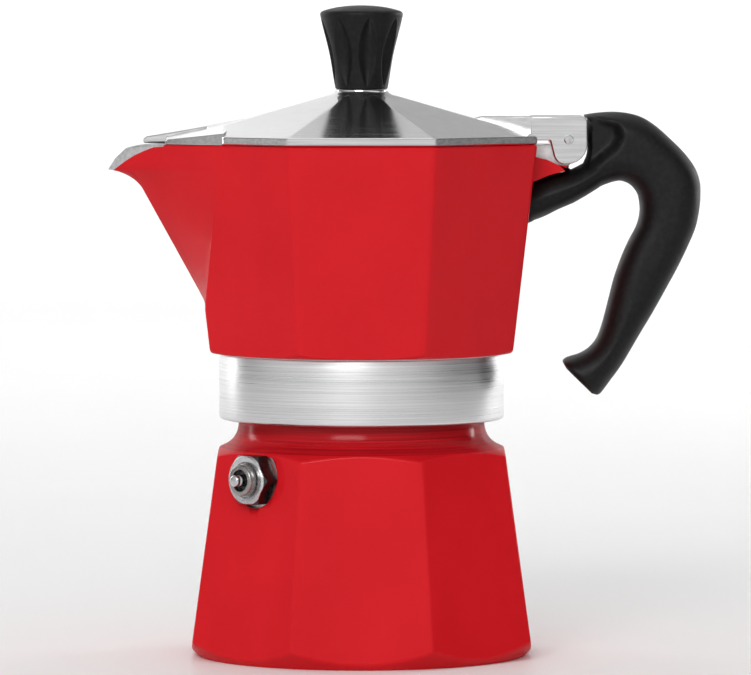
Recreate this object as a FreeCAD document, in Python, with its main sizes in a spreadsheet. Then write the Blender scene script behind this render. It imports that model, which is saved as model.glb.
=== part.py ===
"""A three-cup stovetop moka pot, built as its separate pieces, in millimetres.

The origin is the centre of the base on its underside. +Z is up, +X points to the handle and -X to
the spout. The boiler, the upper chamber and the lid are eight-sided, with flats facing +X, -X, +Y
and -Y. Driving sizes are in the spreadsheet, and the sketches, pads and turned features read them.
"""
import FreeCAD, Part
import Sketcher
import math
import os

from FreeCAD import Placement, Rotation, Vector

doc = FreeCAD.newDocument("moka_pot")

# ---------------------------------------------------------------------------------------------
# Driving sizes
# ---------------------------------------------------------------------------------------------
SIZES = {
    # boiler
    "base_flat": 44.4,          # apothem of the octagon at the base
    "shoulder_flat": 36.1,      # apothem of the same taper where the neck begins
    "shoulder_z": 61.4,
    "base_foot_r": 42.7,        # radius of the flat that the pot stands on
    "boiler_floor": 3.2,
    "neck_r": 32.0,
    "rim_z": 70.0,              # top of the boiler's mouth
    "mouth_r": 28.2,
    "seat_r": 30.0,             # counterbore for the funnel's flange
    "seat_z": 69.0,
    # screw thread between the boiler and the upper chamber
    "pitch": 3.0,
    "thread_turns": 2.0,
    "thread_crest_r": 33.8,
    "thread_start_z": 62.8,
    "nut_crest_r": 32.3,
    "nut_root_r": 34.1,
    # safety valve, measured outwards from the pot's axis
    "valve_z": 47.6,
    "valve_face": 37.2,
    "valve_bore_r": 4.0,
    "washer_thick": 0.5,
    "hex_across": 12.4,
    "hex_thick": 4.5,
    "pin_r": 1.5,
    "shank_r": 3.95,
    "shank_end": 30.6,          # inner end of the valve body
    "inlet_r": 1.3,
    "spring_room_r": 2.8,
    "valve_seat": 33.0,         # where the seal shuts the inlet
    "cap_low": 41.0,            # collar that the spring pushes against
    "cap_r": 4.0,
    "cap_hole_r": 1.6,
    "piston_flange_r": 2.5,
    "piston_low": 33.9,
    "piston_top": 46.5,
    "coil_r": 2.15,
    "wire_r": 0.28,
    # funnel
    "basket_r": 27.7,
    "sheet": 0.8,
    "flange_r": 29.8,
    "basket_floor_z": 51.4,
    "stem_r": 4.5,
    "stem_foot_z": 6.0,
    "stem_top_z": 37.0,
    # gasket and filter plate
    "gasket_r": 32.0,
    "gasket_hole_r": 26.5,
    "gasket_z": 70.05,
    "ceiling_z": 74.0,          # casting's seat above the gasket
    "plate_r": 27.9,
    "plate_z": 73.2,
    # upper chamber
    "band_r": 37.05,
    "band_z": 61.6,
    "band_top_z": 78.8,
    "chamber_foot_flat": 39.0,
    "chamber_rim_flat": 45.2,
    "chamber_rim_z": 133.1,
    "wall": 2.8,
    "chamber_floor_z": 80.8,
    "column_top_z": 118.0,
    "column_bore_r": 4.0,
    "column_top_r": 6.0,
    "column_foot_r": 8.4,
    "outlet_r": 2.2,
    "spout_foot_z": 91.0,
    "spout_tip_x": 66.1,
    "spout_tip_z": 126.3,
    # hinge
    "hinge_x": 53.6,
    "hinge_z": 134.3,
    "hinge_pin_r": 1.3,
    "hinge_bore_r": 1.36,
    "knuckle_half": 6.3,
    "lug_half": 9.0,
    "ear_inner": 6.6,
    "ear_outer": 10.0,
    # handle
    "handle_half": 9.5,
    "handle_reach": 88.2,
    "handle_top_z": 141.5,
    "handle_foot_z": 66.9,
    "screw_x": 52.0,
    "screw_r": 1.95,
    "screw_hole_r": 2.0,        # tapped in the lug
    "screw_way_r": 2.15,        # clearance in the handle and the lid
    "screw_head_r": 3.5,
    "screw_head_z": 117.6,
    "screw_seat_z": 120.0,
    # lid and knob
    "lid_z": 133.2,
    "lid_edge_z": 135.2,
    "lid_top_z": 147.1,
    "lid_boss_r": 6.9,
    "roof_top_z": 146.75,
    "roof_top_flat": 5.2,
    "hollow_top_z": 144.0,
    "hollow_top_flat": 8.0,
    "boss_top_z": 140.4,
    "knob_z": 147.2,
    "knob_top_z": 169.0,
    "knob_foot_r": 6.8,
    "knob_rim_r": 10.8,
    "knob_insert_r": 3.2,
    "insert_bore_r": 2.0,
    "flutes": 8,
    "flute_turn": 11.5,         # degrees from the front to the nearest flute
}

sheet = doc.addObject("Spreadsheet::Sheet", "Sizes")
for row, (alias, number) in enumerate(SIZES.items(), start=1):
    sheet.set(f"A{row}", alias)
    sheet.set(f"B{row}", str(number))
    sheet.setAlias(f"B{row}", alias)
doc.recompute()


# ---------------------------------------------------------------------------------------------
# Small drawing helpers. A size is a plain number, the name of a cell, or (name, extra), and a
# leading minus turns the cell's sign.
# ---------------------------------------------------------------------------------------------
def amount(size):
    """The size as a number."""
    if isinstance(size, (int, float)):
        return float(size)
    name, extra = size if isinstance(size, tuple) else (size, 0.0)
    sign = -1.0 if name.startswith("-") else 1.0
    return sign * SIZES[name.lstrip("-")] + extra


def formula(size):
    """The size as an expression that reads the spreadsheet, or None for a plain number."""
    if isinstance(size, (int, float)):
        return None
    name, extra = size if isinstance(size, tuple) else (size, 0.0)
    sign = "-" if name.startswith("-") else ""
    return f"{sign}Sizes.{name.lstrip('-')} + ({extra})"


def new_body(label, placement=None):
    body = doc.addObject("PartDesign::Body", label)
    body.Label = label
    if placement is not None:
        body.Placement = placement
    return body


def origin_item(body, role):
    return next(item for item in body.Origin.OriginFeatures if item.Role == role)


def new_sketch(body, plane, lift=None):
    """A sketch on one of the body's own planes, moved along the plane's normal by lift."""
    sketch = body.newObject("Sketcher::SketchObject", "Sketch")
    sketch.AttachmentSupport = [(origin_item(body, plane), "")]
    sketch.MapMode = "FlatFace"
    if lift is not None:
        sketch.AttachmentOffset = Placement(Vector(0, 0, amount(lift)), Rotation())
        if formula(lift):
            sketch.setExpression("AttachmentOffset.Base.z", formula(lift))
    return sketch


def pin_point(sketch, geometry, position, point):
    """Hold one end of a piece of geometry at a point, each coordinate by its own dimension."""
    axes = (("DistanceX", -2), ("DistanceY", -1))
    for (kind, axis), size in zip(axes, point):
        if amount(size) == 0.0:
            sketch.addConstraint(Sketcher.Constraint("PointOnObject", geometry, position, axis))
            continue
        rule = Sketcher.Constraint(kind, -1, 1, geometry, position, amount(size))
        number = sketch.addConstraint(rule)
        if formula(size):
            sketch.setExpression(f"Constraints[{number}]", formula(size))


def outline(sketch, corners):
    """A closed outline. Each corner is (x, y), or (x, y, [points]) for a curve on to the next."""
    flat = [Vector(amount(corner[0]), amount(corner[1]), 0) for corner in corners]
    ends = []
    for index, corner in enumerate(corners):
        here = flat[index]
        there = flat[(index + 1) % len(flat)]
        between = [Vector(amount(x), amount(y), 0) for x, y in (corner[2] if len(corner) > 2 else [])]
        if not between:
            curve = Part.LineSegment(here, there)
        else:
            curve = Part.BSplineCurve()
            curve.interpolate([here] + between + [there])
        geometry = sketch.addGeometry(curve, False)
        starts_here = (sketch.Geometry[geometry].StartPoint - here).Length < 1e-6
        ends.append((geometry, 1, 2) if starts_here else (geometry, 2, 1))
    for index, corner in enumerate(corners):
        geometry, first, last = ends[index]
        pin_point(sketch, geometry, first, corner[:2])
        follower, entry, _ = ends[(index + 1) % len(ends)]
        rule = Sketcher.Constraint("Coincident", geometry, last, follower, entry)
        sketch.addConstraint(rule)


def circle(sketch, centre, radius):
    middle = Vector(amount(centre[0]), amount(centre[1]), 0)
    ring = Part.Circle(middle, Vector(0, 0, 1), amount(radius))
    geometry = sketch.addGeometry(ring, False)
    pin_point(sketch, geometry, 3, centre)
    number = sketch.addConstraint(Sketcher.Constraint("Radius", geometry, amount(radius)))
    if formula(radius):
        sketch.setExpression(f"Constraints[{number}]", formula(radius))


def turned(body, name, corners, cut=False):
    """A shape turned about the body's Z axis from an outline in radius and height."""
    sketch = new_sketch(body, "XZ_Plane")
    outline(sketch, corners)
    feature = body.newObject("PartDesign::Groove" if cut else "PartDesign::Revolution", name)
    feature.Profile = sketch
    feature.ReferenceAxis = (sketch, ["V_Axis"])
    feature.Angle = 360.0
    doc.recompute()
    return feature


def slab(body, name, corners, half, cut=False):
    """An upright shape: an outline in X and Z, as thick to each side of the middle plane."""
    sketch = new_sketch(body, "XZ_Plane")
    outline(sketch, corners)
    feature = body.newObject("PartDesign::Pocket" if cut else "PartDesign::Pad", name)
    feature.Profile = sketch
    feature.SideType = "Symmetric"
    feature.Length = 2.0 * amount(half)
    if formula(half):
        feature.setExpression("Length", f"2 * ({formula(half)})")
    doc.recompute()
    return feature


def upright_pad(body, name, radius, low, high, centre=(0, 0), cut=False):
    """A vertical cylinder, added or cut, from one height to another."""
    sketch = new_sketch(body, "XY_Plane", low)
    circle(sketch, centre, radius)
    feature = body.newObject("PartDesign::Pocket" if cut else "PartDesign::Pad", name)
    feature.Profile = sketch
    feature.Length = amount(high) - amount(low)
    feature.Reversed = cut
    doc.recompute()
    return feature


def octagon(sketch, flat, inset=0.0):
    """A regular octagon with flats across X and Y, from its apothem."""
    reach = amount(flat) - inset
    turns = [math.radians(22.5 + 45.0 * corner) for corner in range(8)]
    scale = [(math.cos(turn) / math.cos(math.radians(22.5)),
              math.sin(turn) / math.cos(math.radians(22.5))) for turn in turns]
    points = [Vector(reach * x, reach * y, 0) for x, y in scale]
    sides = [sketch.addGeometry(Part.LineSegment(points[i], points[(i + 1) % 8]), False)
             for i in range(8)]
    for side, (x, y), point in zip(sides, scale, points):
        for kind, share, place in (("DistanceX", x, point.x), ("DistanceY", y, point.y)):
            number = sketch.addConstraint(Sketcher.Constraint(kind, -1, 1, side, 1, place))
            if formula(flat):
                wanted = f"({formula(flat)} - {inset}) * {share:.9f}"
                sketch.setExpression(f"Constraints[{number}]", wanted)
    for index, side in enumerate(sides):
        rule = Sketcher.Constraint("Coincident", side, 2, sides[(index + 1) % 8], 1)
        sketch.addConstraint(rule)


def loft(body, name, sketches, cut=False):
    """A straight-sided loft through sketches that have the same number of corners."""
    feature = body.newObject("PartDesign::SubtractiveLoft" if cut else "PartDesign::AdditiveLoft", name)
    feature.Profile = sketches[0]
    feature.Sections = sketches[1:]
    feature.Ruled = True
    doc.recompute()
    return feature


def eight_sided(body, name, low, high, low_flat, high_flat, inset=0.0, cut=False):
    """A tapered octagonal block between two heights."""
    foot = new_sketch(body, "XY_Plane", low)
    octagon(foot, low_flat, inset)
    head = new_sketch(body, "XY_Plane", high)
    octagon(head, high_flat, inset)
    return loft(body, name, [foot, head], cut)


def thread(body, name, root_r, crest_r, start_z):
    """A right-hand helical ridge whose section narrows from its root to its crest."""
    half_root = 0.85
    half_crest = 0.35
    sketch = new_sketch(body, "XZ_Plane")
    low = (start_z[0], start_z[1] - half_root)
    high = (start_z[0], start_z[1] + half_root)
    crest_low = (start_z[0], start_z[1] - half_crest)
    crest_high = (start_z[0], start_z[1] + half_crest)
    outline(sketch, [(root_r, low), (crest_r, crest_low), (crest_r, crest_high), (root_r, high)])
    ridge = body.newObject("PartDesign::AdditiveHelix", name)
    ridge.Profile = sketch
    ridge.ReferenceAxis = (origin_item(body, "Z_Axis"), [""])
    ridge.Mode = "pitch-turns-angle"
    ridge.setExpression("Pitch", "Sizes.pitch")
    ridge.setExpression("Turns", "Sizes.thread_turns")
    doc.recompute()
    return ridge


def around(body, name, feature, count):
    """The feature repeated evenly around the body's Z axis."""
    ring = body.newObject("PartDesign::PolarPattern", name)
    ring.Originals = [feature]
    ring.Axis = (origin_item(body, "Z_Axis"), [""])
    ring.Angle = 360.0
    ring.Occurrences = count
    body.Tip = ring
    doc.recompute()
    return ring


def perforated_disc(label, radius, low, thick, rings, hole_r):
    """A thin round plate with rings of small holes."""
    body = new_body(label)
    upright_pad(body, "disc", radius, low, (low[0], low[1] + thick))
    sketch = new_sketch(body, "XY_Plane", low)
    circle(sketch, (0, 0), hole_r)
    for ring_number in range(1, rings + 1):
        for hole in range(6 * ring_number):
            turn = 2.0 * math.pi * hole / (6 * ring_number)
            ring_r = ring_number * amount(radius) / (rings + 1.0)
            middle = Vector(ring_r * math.cos(turn), ring_r * math.sin(turn), 0)
            sketch.addGeometry(Part.Circle(middle, Vector(0, 0, 1), hole_r), False)
    holes = body.newObject("PartDesign::Pocket", "perforation")
    holes.Profile = sketch
    holes.Reversed = True
    holes.Length = 2.0 * thick
    doc.recompute()
    return body


# ---------------------------------------------------------------------------------------------
# Boiler: eight-sided pressed cup with a round threaded neck
# ---------------------------------------------------------------------------------------------
VALVE_PLACE = Placement(Vector(0, 0, SIZES["valve_z"]), Rotation(Vector(0, 0, 1), Vector(-1, -1, 0)))


def valve_disc(body, name, radius, low, high, cut):
    """A cylinder about the valve's axis, added or cut between two distances from the pot's axis."""
    sketch = body.newObject("Sketcher::SketchObject", "Sketch")
    sketch.AttachmentSupport = [(origin_item(body, "XY_Plane"), "")]
    sketch.MapMode = "FlatFace"
    sketch.AttachmentOffset = VALVE_PLACE.multiply(Placement(Vector(0, 0, low), Rotation()))
    circle(sketch, (0, 0), radius)
    feature = body.newObject("PartDesign::Pocket" if cut else "PartDesign::Pad", name)
    feature.Profile = sketch
    feature.Length = high - low
    feature.Reversed = cut
    doc.recompute()


def make_boiler():
    body = new_body("boiler")
    eight_sided(body, "cup", 0.0, "shoulder_z", "base_flat", "shoulder_flat")
    outside = 50.0
    valve_disc(body, "valve_spot_face", 7.4, SIZES["valve_face"], outside, cut=True)
    # The outside is turned at 45 degrees below, and to a cone and a hollow fillet at the shoulder.
    chamfer = 8.0
    turned(body, "base_chamfer", [("base_foot_r", 0.0), (("base_foot_r", chamfer), chamfer),
                                  (("base_foot_r", chamfer), 0.0)], cut=True)
    turned(body, "shoulder", [(36.5, 54.4, [(33.2, 56.9)]), ("neck_r", ("shoulder_z", -0.6)),
                              ("neck_r", ("shoulder_z", 1.0)), (outside, ("shoulder_z", 1.0)),
                              (outside, 48.3)], cut=True)
    upright_pad(body, "neck", "neck_r", ("shoulder_z", -1.0), "rim_z")
    turned(body, "water_space", [(0.0, "boiler_floor"), (38.0, "boiler_floor", [(40.0, 4.0)]),
                                 (40.6, 6.0), (34.2, 51.0, [(33.0, 54.6)]), ("mouth_r", 57.4),
                                 ("mouth_r", "seat_z"), ("seat_r", "seat_z"),
                                 ("seat_r", ("rim_z", 1.0)), (0.0, ("rim_z", 1.0))], cut=True)
    # Pad inside the wall that gives the valve's thread its length, and the bore through it.
    valve_disc(body, "valve_pad", 6.0, 32.6, 35.8, cut=False)
    valve_disc(body, "valve_bore", "valve_bore_r", 30.0, outside, cut=True)
    thread(body, "thread", ("neck_r", -0.4), "thread_crest_r", ("thread_start_z", 0.0))
    return body


# ---------------------------------------------------------------------------------------------
# Safety valve: its pieces share one placement, with local Z pointing outwards
# ---------------------------------------------------------------------------------------------
def make_valve():
    face = SIZES["valve_face"]
    hex_low = face + SIZES["washer_thick"]
    hex_high = hex_low + SIZES["hex_thick"]
    past = hex_high + 0.5
    cap_low = SIZES["cap_low"]
    flange_top = 35.3

    washer = new_body("valve_washer", VALVE_PLACE)
    turned(washer, "ring", [(4.05, face), (6.3, face), (6.3, hex_low), (4.05, hex_low)])

    body = new_body("valve_body", VALVE_PLACE)
    plate = new_sketch(body, "XY_Plane", hex_low)
    reach = SIZES["hex_across"] / math.sqrt(3.0)
    turns = [math.radians(60.0 * corner) for corner in range(6)]
    outline(plate, [(reach * math.cos(turn), reach * math.sin(turn)) for turn in turns])
    head = body.newObject("PartDesign::Pad", "hex")
    head.Profile = plate
    head.setExpression("Length", "Sizes.hex_thick")
    doc.recompute()
    turned(body, "shank", [(0.0, "shank_end"), ("shank_r", "shank_end"), ("shank_r", hex_low + 0.5),
                            (0.0, hex_low + 0.5)])
    turned(body, "hex_chamfer", [(6.2, hex_high), (8.2, hex_high - 1.4), (8.2, hex_high)], cut=True)
    turned(body, "spring_room", [(0.0, "valve_seat"), ("spring_room_r", "valve_seat"),
                                 ("spring_room_r", past), (0.0, past)], cut=True)
    turned(body, "inlet", [(0.0, ("shank_end", -1.6)), ("inlet_r", ("shank_end", -1.6)),
                           ("inlet_r", ("valve_seat", 1.0)), (0.0, ("valve_seat", 1.0))], cut=True)

    cap = new_body("valve_cap", VALVE_PLACE)
    turned(cap, "collar", [("cap_hole_r", cap_low), ("spring_room_r", cap_low),
                           ("spring_room_r", hex_high), ("cap_r", hex_high),
                           ("cap_r", hex_high + 1.7), (("cap_r", -0.3), hex_high + 2.0),
                           ("spring_room_r", hex_high + 2.0), ("spring_room_r", hex_high + 0.6),
                           ("cap_hole_r", hex_high + 0.6)])

    piston = new_body("valve_piston", VALVE_PLACE)
    turned(piston, "stem", [(0.0, "piston_low"), ("piston_flange_r", "piston_low"),
                            ("piston_flange_r", flange_top), ("pin_r", flange_top),
                            ("pin_r", ("piston_top", -0.3)), (("pin_r", -0.3), "piston_top"),
                            (0.0, "piston_top")])

    seal = new_body("valve_seal", VALVE_PLACE)
    turned(seal, "disc", [(0.0, ("valve_seat", 0.05)), (2.4, ("valve_seat", 0.05)),
                          (2.4, "piston_low"), (0.0, "piston_low")])

    spring = doc.addObject("Part::Feature", "valve_spring")
    spring.Label = "valve_spring"
    coil_r = SIZES["coil_r"]
    wire_r = SIZES["wire_r"]
    low = flange_top + wire_r + 0.02
    high = cap_low - wire_r - 0.02
    coils = 5.0
    helix = Part.makeHelix((high - low) / coils, high - low, coil_r)
    ring = Part.Circle(Vector(coil_r, 0, 0), Vector(0, 1, 0), wire_r)
    wire = Part.Wire(helix.Edges)
    coil = wire.makePipeShell([Part.Wire([ring.toShape()])], True, True)
    spring.Shape = coil
    spring.Placement = VALVE_PLACE.multiply(Placement(Vector(0, 0, low), Rotation()))
    return [washer, body, cap, piston, seal, spring]


# ---------------------------------------------------------------------------------------------
# Funnel and its filter
# ---------------------------------------------------------------------------------------------
def make_funnel():
    body = new_body("funnel")
    flange_top = ("rim_z", 0.0)
    flange_low = ("seat_z", 0.05)
    skin = -SIZES["sheet"]
    turned(body, "basket", [
        (("basket_r", skin), flange_top), ("flange_r", flange_top), ("flange_r", flange_low),
        ("basket_r", flange_low), ("basket_r", ("basket_floor_z", -1.2)),
        ("stem_r", "stem_top_z"), ("stem_r", "stem_foot_z"), (("stem_r", skin), "stem_foot_z"),
        (("stem_r", skin), ("stem_top_z", 0.4)), (("basket_r", -2.4), "basket_floor_z"),
        (("basket_r", skin), "basket_floor_z")])
    return body


def make_gasket():
    body = new_body("gasket")
    turned(body, "ring", [("gasket_hole_r", "gasket_z"), ("gasket_r", "gasket_z"),
                          ("gasket_r", "ceiling_z"), (("plate_r", 0.1), "ceiling_z"),
                          (("plate_r", 0.1), "plate_z"), ("gasket_hole_r", "plate_z")])
    return body


# ---------------------------------------------------------------------------------------------
# Upper chamber: band, octagonal jug, spout, coffee column, lug and hinge knuckle in one casting
# ---------------------------------------------------------------------------------------------
def wedge(body, lift, keel_x, side_x, side_y, back_x):
    """One level of the spout: its keel in front, its sides, and a back inside the chamber."""
    sketch = new_sketch(body, "XY_Plane", lift)
    outline(sketch, [(keel_x, 0.0), (side_x, -side_y), (back_x, -side_y), (back_x, side_y),
                     (side_x, side_y)])
    return sketch


def make_upper_chamber():
    body = new_body("upper_chamber")
    turned(body, "band", [("nut_root_r", "band_z"), (("band_r", -0.5), "band_z"),
                          ("band_r", ("band_z", 0.6)), ("band_r", "band_top_z"),
                          ("band_r", ("band_top_z", 1.0)), (0.0, ("band_top_z", 1.0)),
                          (0.0, 78.0), (5.0, 78.0), (26.0, "ceiling_z"),
                          ("nut_root_r", "ceiling_z")])
    eight_sided(body, "jug", "band_top_z", "chamber_rim_z", "chamber_foot_flat", "chamber_rim_flat")
    turned(body, "foot_round", [("band_r", "band_top_z", [(38.9, 79.7)]), (40.2, 81.3),
                                (46.0, 83.6), (46.0, "band_top_z")], cut=True)
    levels = (("spout_foot_z", 0.0, 40.4, 40.2, 16.5), ("spout_foot_z", 31.0, 57.3, 36.9, 25.0),
              ("spout_foot_z", 33.4, 60.4, 36.6, 25.6), ("spout_tip_z", 0.0, 65.9, 36.3, 26.2),
              ("chamber_rim_z", 0.0, 66.1, 35.8, 27.9))
    loft(body, "spout", [wedge(body, (name, up), -keel, -side, half, -25.0)
                         for name, up, keel, side, half in levels])
    eight_sided(body, "cavity", "chamber_floor_z", ("chamber_rim_z", 1.0), "chamber_foot_flat",
                "chamber_rim_flat", inset=SIZES["wall"], cut=True)
    hollow = (("spout_foot_z", 3.5, 37.6, 37.0, 13.0), ("spout_foot_z", 31.0, 53.4, 35.5, 21.6),
              ("spout_tip_z", -0.3, 57.4, 35.2, 22.6), ("spout_tip_z", 2.0, 61.6, 35.0, 23.2),
              ("chamber_rim_z", 1.0, 62.2, 34.6, 24.6))
    loft(body, "spout_channel", [wedge(body, (name, up), -keel, -side, half, -24.0)
                                 for name, up, keel, side, half in hollow], cut=True)
    slab(body, "pouring_lip", [(("-spout_tip_x", 0.0), ("spout_tip_z", 0.1)),
                               (("-spout_tip_x", 2.9), ("spout_tip_z", 4.7), [(-61.7, 132.1)]),
                               (-59.0, 132.75), (-56.0, "chamber_rim_z"), (-56.0, 136.0),
                               (-70.0, 136.0), (-70.0, ("spout_tip_z", 0.1))], 30.0, cut=True)
    buried = ("chamber_floor_z", -1.4)
    turned(body, "column", [(0.0, buried), ("column_foot_r", buried), (7.0, 86.0),
                            ("column_top_r", ("column_top_z", -3.0)),
                            (("column_top_r", -2.0), "column_top_z"), (0.0, "column_top_z")])
    turned(body, "column_bore", [(0.0, 73.0), (5.0, 73.0), (5.0, 79.0), ("column_bore_r", 83.0),
                                 ("column_bore_r", ("column_top_z", -6.0)),
                                 (0.0, ("column_top_z", -3.4))], cut=True)
    outlet = new_sketch(body, "XZ_Plane")
    circle(outlet, (0, ("column_top_z", -7.0)), "outlet_r")
    outlets = body.newObject("PartDesign::Pocket", "outlets")
    outlets.Profile = outlet
    outlets.SideType = "Symmetric"
    outlets.Length = 20.0
    doc.recompute()
    thread(body, "thread", ("nut_root_r", 0.4), "nut_crest_r",
           ("thread_start_z", SIZES["pitch"] / 2.0))
    # Lug and hinge knuckle between the lid's ears, and the lug's wider cheeks below the ears.
    slab(body, "lug", [(42.5, 121.6), (44.3, 123.3), (48.7, 125.1), (54.1, 126.6), (56.3, 127.6),
                       (56.3, 130.45, [(57.9, 132.4), (58.25, 135.2), (56.5, 138.0), (53.6, 139.0),
                                       (50.7, 138.0), (49.1, 135.7)]),
                       (49.1, 133.0), (43.4, 133.0)], "knuckle_half")
    slab(body, "lug_cheeks", [(42.5, 121.6), (44.3, 123.3), (48.7, 125.1), (54.1, 126.6),
                              (56.0, 127.3), (53.6, 127.35), (50.8, 127.7), (48.2, 129.0),
                              (43.2, 130.2)], "lug_half")
    bore = new_sketch(body, "XZ_Plane")
    circle(bore, ("hinge_x", "hinge_z"), "hinge_pin_r")
    pin_hole = body.newObject("PartDesign::Pocket", "pin_hole")
    pin_hole.Profile = bore
    pin_hole.SideType = "Symmetric"
    pin_hole.Length = 30.0
    doc.recompute()
    upright_pad(body, "screw_hole", "screw_hole_r", "screw_seat_z", 129.9, ("screw_x", 0.0), cut=True)
    return body


def make_hinge_pin():
    body = new_body("hinge_pin")
    sketch = new_sketch(body, "XZ_Plane")
    circle(sketch, ("hinge_x", "hinge_z"), "hinge_pin_r")
    pin = body.newObject("PartDesign::Pad", "pin")
    pin.Profile = sketch
    pin.SideType = "Symmetric"
    pin.setExpression("Length", "2 * (Sizes.ear_outer + 0.2)")
    doc.recompute()
    return body


# ---------------------------------------------------------------------------------------------
# Handle and its screw
# ---------------------------------------------------------------------------------------------
def make_handle():
    body = new_body("handle")
    reach = "handle_reach"
    top = "handle_top_z"
    foot = "handle_foot_z"
    outer = [((reach, -22.9), (top, 0.0)), ((reach, -15.2), (top, -1.3)), ((reach, -8.0), (top, -7.0)),
             ((reach, -1.6), (top, -14.2)), (reach, (top, -20.8)), ((reach, -1.3), (top, -30.1)),
             ((reach, -8.5), (top, -45.0)), ((reach, -20.3), (foot, 9.0)), ((reach, -26.0), (foot, 1.3))]
    inner = [((reach, -27.0), (foot, 15.7)), ((reach, -23.9), (foot, 26.0)),
             ((reach, -18.8), (foot, 40.9)), ((reach, -16.0), (foot, 50.1)),
             ((reach, -18.8), (foot, 55.8)), ((reach, -26.5), (foot, 54.8)),
             ((reach, -38.3), (foot, 48.4))]
    slab(body, "blank", [
        (57.6, (top, -0.8), outer),
        ((reach, -28.3), foot), ((reach, -30.1), (foot, 0.8)), (51.9, (foot, 9.3), [(52.1, 77.2)]),
        (53.2, (foot, 10.8), inner),
        (43.0, 112.8), (44.15, 123.2), (48.7, 125.1), (54.1, 126.6), (56.6, 127.6),
        (58.9, 130.6), (58.9, 137.5)], "handle_half")
    # Room on each cheek for the lid's ears, open at the top.
    cheek = [(50.0, 127.0), (59.6, 127.6), (62.7, 128.9), (65.8, 131.5), (67.4, 134.5),
             (67.0, 137.4), (65.4, 138.9), (62.6, 139.7), (62.2, 144.0), (50.0, 144.0)]
    outside = 12.0
    for name, low in (("near_cheek", -outside), ("far_cheek", SIZES["knuckle_half"])):
        sketch = new_sketch(body, "XZ_Plane", low)
        outline(sketch, cheek)
        room = body.newObject("PartDesign::Pocket", name)
        room.Profile = sketch
        room.Length = outside - SIZES["knuckle_half"]
        room.Reversed = True
        doc.recompute()
    below = 110.0
    upright_pad(body, "screw_way", "screw_way_r", below, 130.0, ("screw_x", 0.0), cut=True)
    upright_pad(body, "screw_head_room", ("screw_head_r", 0.3), below, "screw_seat_z",
                ("screw_x", 0.0), cut=True)
    return body


def make_handle_screw():
    body = new_body("handle_screw")
    centre = ("screw_x", 0.0)
    upright_pad(body, "head", "screw_head_r", "screw_head_z", "screw_seat_z", centre)
    upright_pad(body, "shank", "screw_r", ("screw_seat_z", -0.5), ("screw_seat_z", 9.5), centre)
    return body


# ---------------------------------------------------------------------------------------------
# Lid, knob and the knob's fixing
# ---------------------------------------------------------------------------------------------
def make_lid():
    body = new_body("lid")
    eight_sided(body, "edge", "lid_z", "lid_edge_z", "chamber_rim_flat", "chamber_rim_flat")
    eight_sided(body, "roof", ("lid_edge_z", -0.2), "roof_top_z", ("chamber_rim_flat", 0.0),
                "roof_top_flat")
    upright_pad(body, "knob_seat", "lid_boss_r", "hollow_top_z", "lid_top_z")
    # Cover over the spout: a low gable between upright sides, with a narrow tongue in front.
    stations = ((-51.1, 13.0, 135.9), (-36.3, 26.9, 138.5), (-24.0, 20.0, 140.9))
    sections = []
    for station, half, ridge in stations:
        sketch = new_sketch(body, "YZ_Plane", station)
        outline(sketch, [(-half, "lid_z"), (half, "lid_z"), (half, "lid_edge_z"), (0.0, ridge),
                         (-half, "lid_edge_z")])
        sections.append(sketch)
    loft(body, "spout_cover", sections)
    slab(body, "tongue", [(-56.7, "lid_z"), (-40.0, "lid_z"), (-40.0, 137.7), (-48.4, 136.2),
                          (-56.0, 134.9, [(-56.55, 134.6)]), (-56.7, 134.2)], 5.0)
    slab(body, "hinge_boss", [(26.0, "lid_z"), (44.2, "lid_z"), (44.2, "boss_top_z"),
                              (30.7, "boss_top_z"), (26.0, 139.3)], "ear_outer")
    # Hollow underside, then the ears, which stand outside it.
    eight_sided(body, "hollow", ("lid_z", -1.0), ("lid_z", 1.0), "chamber_rim_flat",
                "chamber_rim_flat", inset=SIZES["wall"], cut=True)
    eight_sided(body, "hollow_roof", ("lid_z", 1.0), "hollow_top_z",
                ("chamber_rim_flat", -SIZES["wall"]), "hollow_top_flat", cut=True)
    ear = [(44.2, 135.4), (44.2, "boss_top_z"), (56.0, "boss_top_z", [(57.9, 138.9)]),
           (58.4, 136.6), (58.4, "hinge_z", [(57.2, 130.3)]), (53.6, 128.0),
           (51.1, 128.4, [(49.4, 130.7)]), (48.6, 134.1), (45.5, 134.1)]
    for name, low in (("near_ear", "-ear_outer"), ("far_ear", "ear_inner")):
        sketch = new_sketch(body, "XZ_Plane", low)
        outline(sketch, ear)
        blade = body.newObject("PartDesign::Pad", name)
        blade.Profile = sketch
        blade.setExpression("Length", "Sizes.ear_outer - Sizes.ear_inner")
        doc.recompute()
    bore = new_sketch(body, "XZ_Plane")
    circle(bore, ("hinge_x", "hinge_z"), "hinge_bore_r")
    pin_hole = body.newObject("PartDesign::Pocket", "pin_hole")
    pin_hole.Profile = bore
    pin_hole.SideType = "Symmetric"
    pin_hole.Length = 30.0
    doc.recompute()
    upright_pad(body, "knob_hole", "screw_way_r", ("hollow_top_z", -4.0), ("lid_top_z", 1.9), cut=True)
    return body


KNOB_TURN = Placement(Vector(0, 0, 0), Rotation(Vector(0, 0, 1), -90.0 + SIZES["flute_turn"]))


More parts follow.
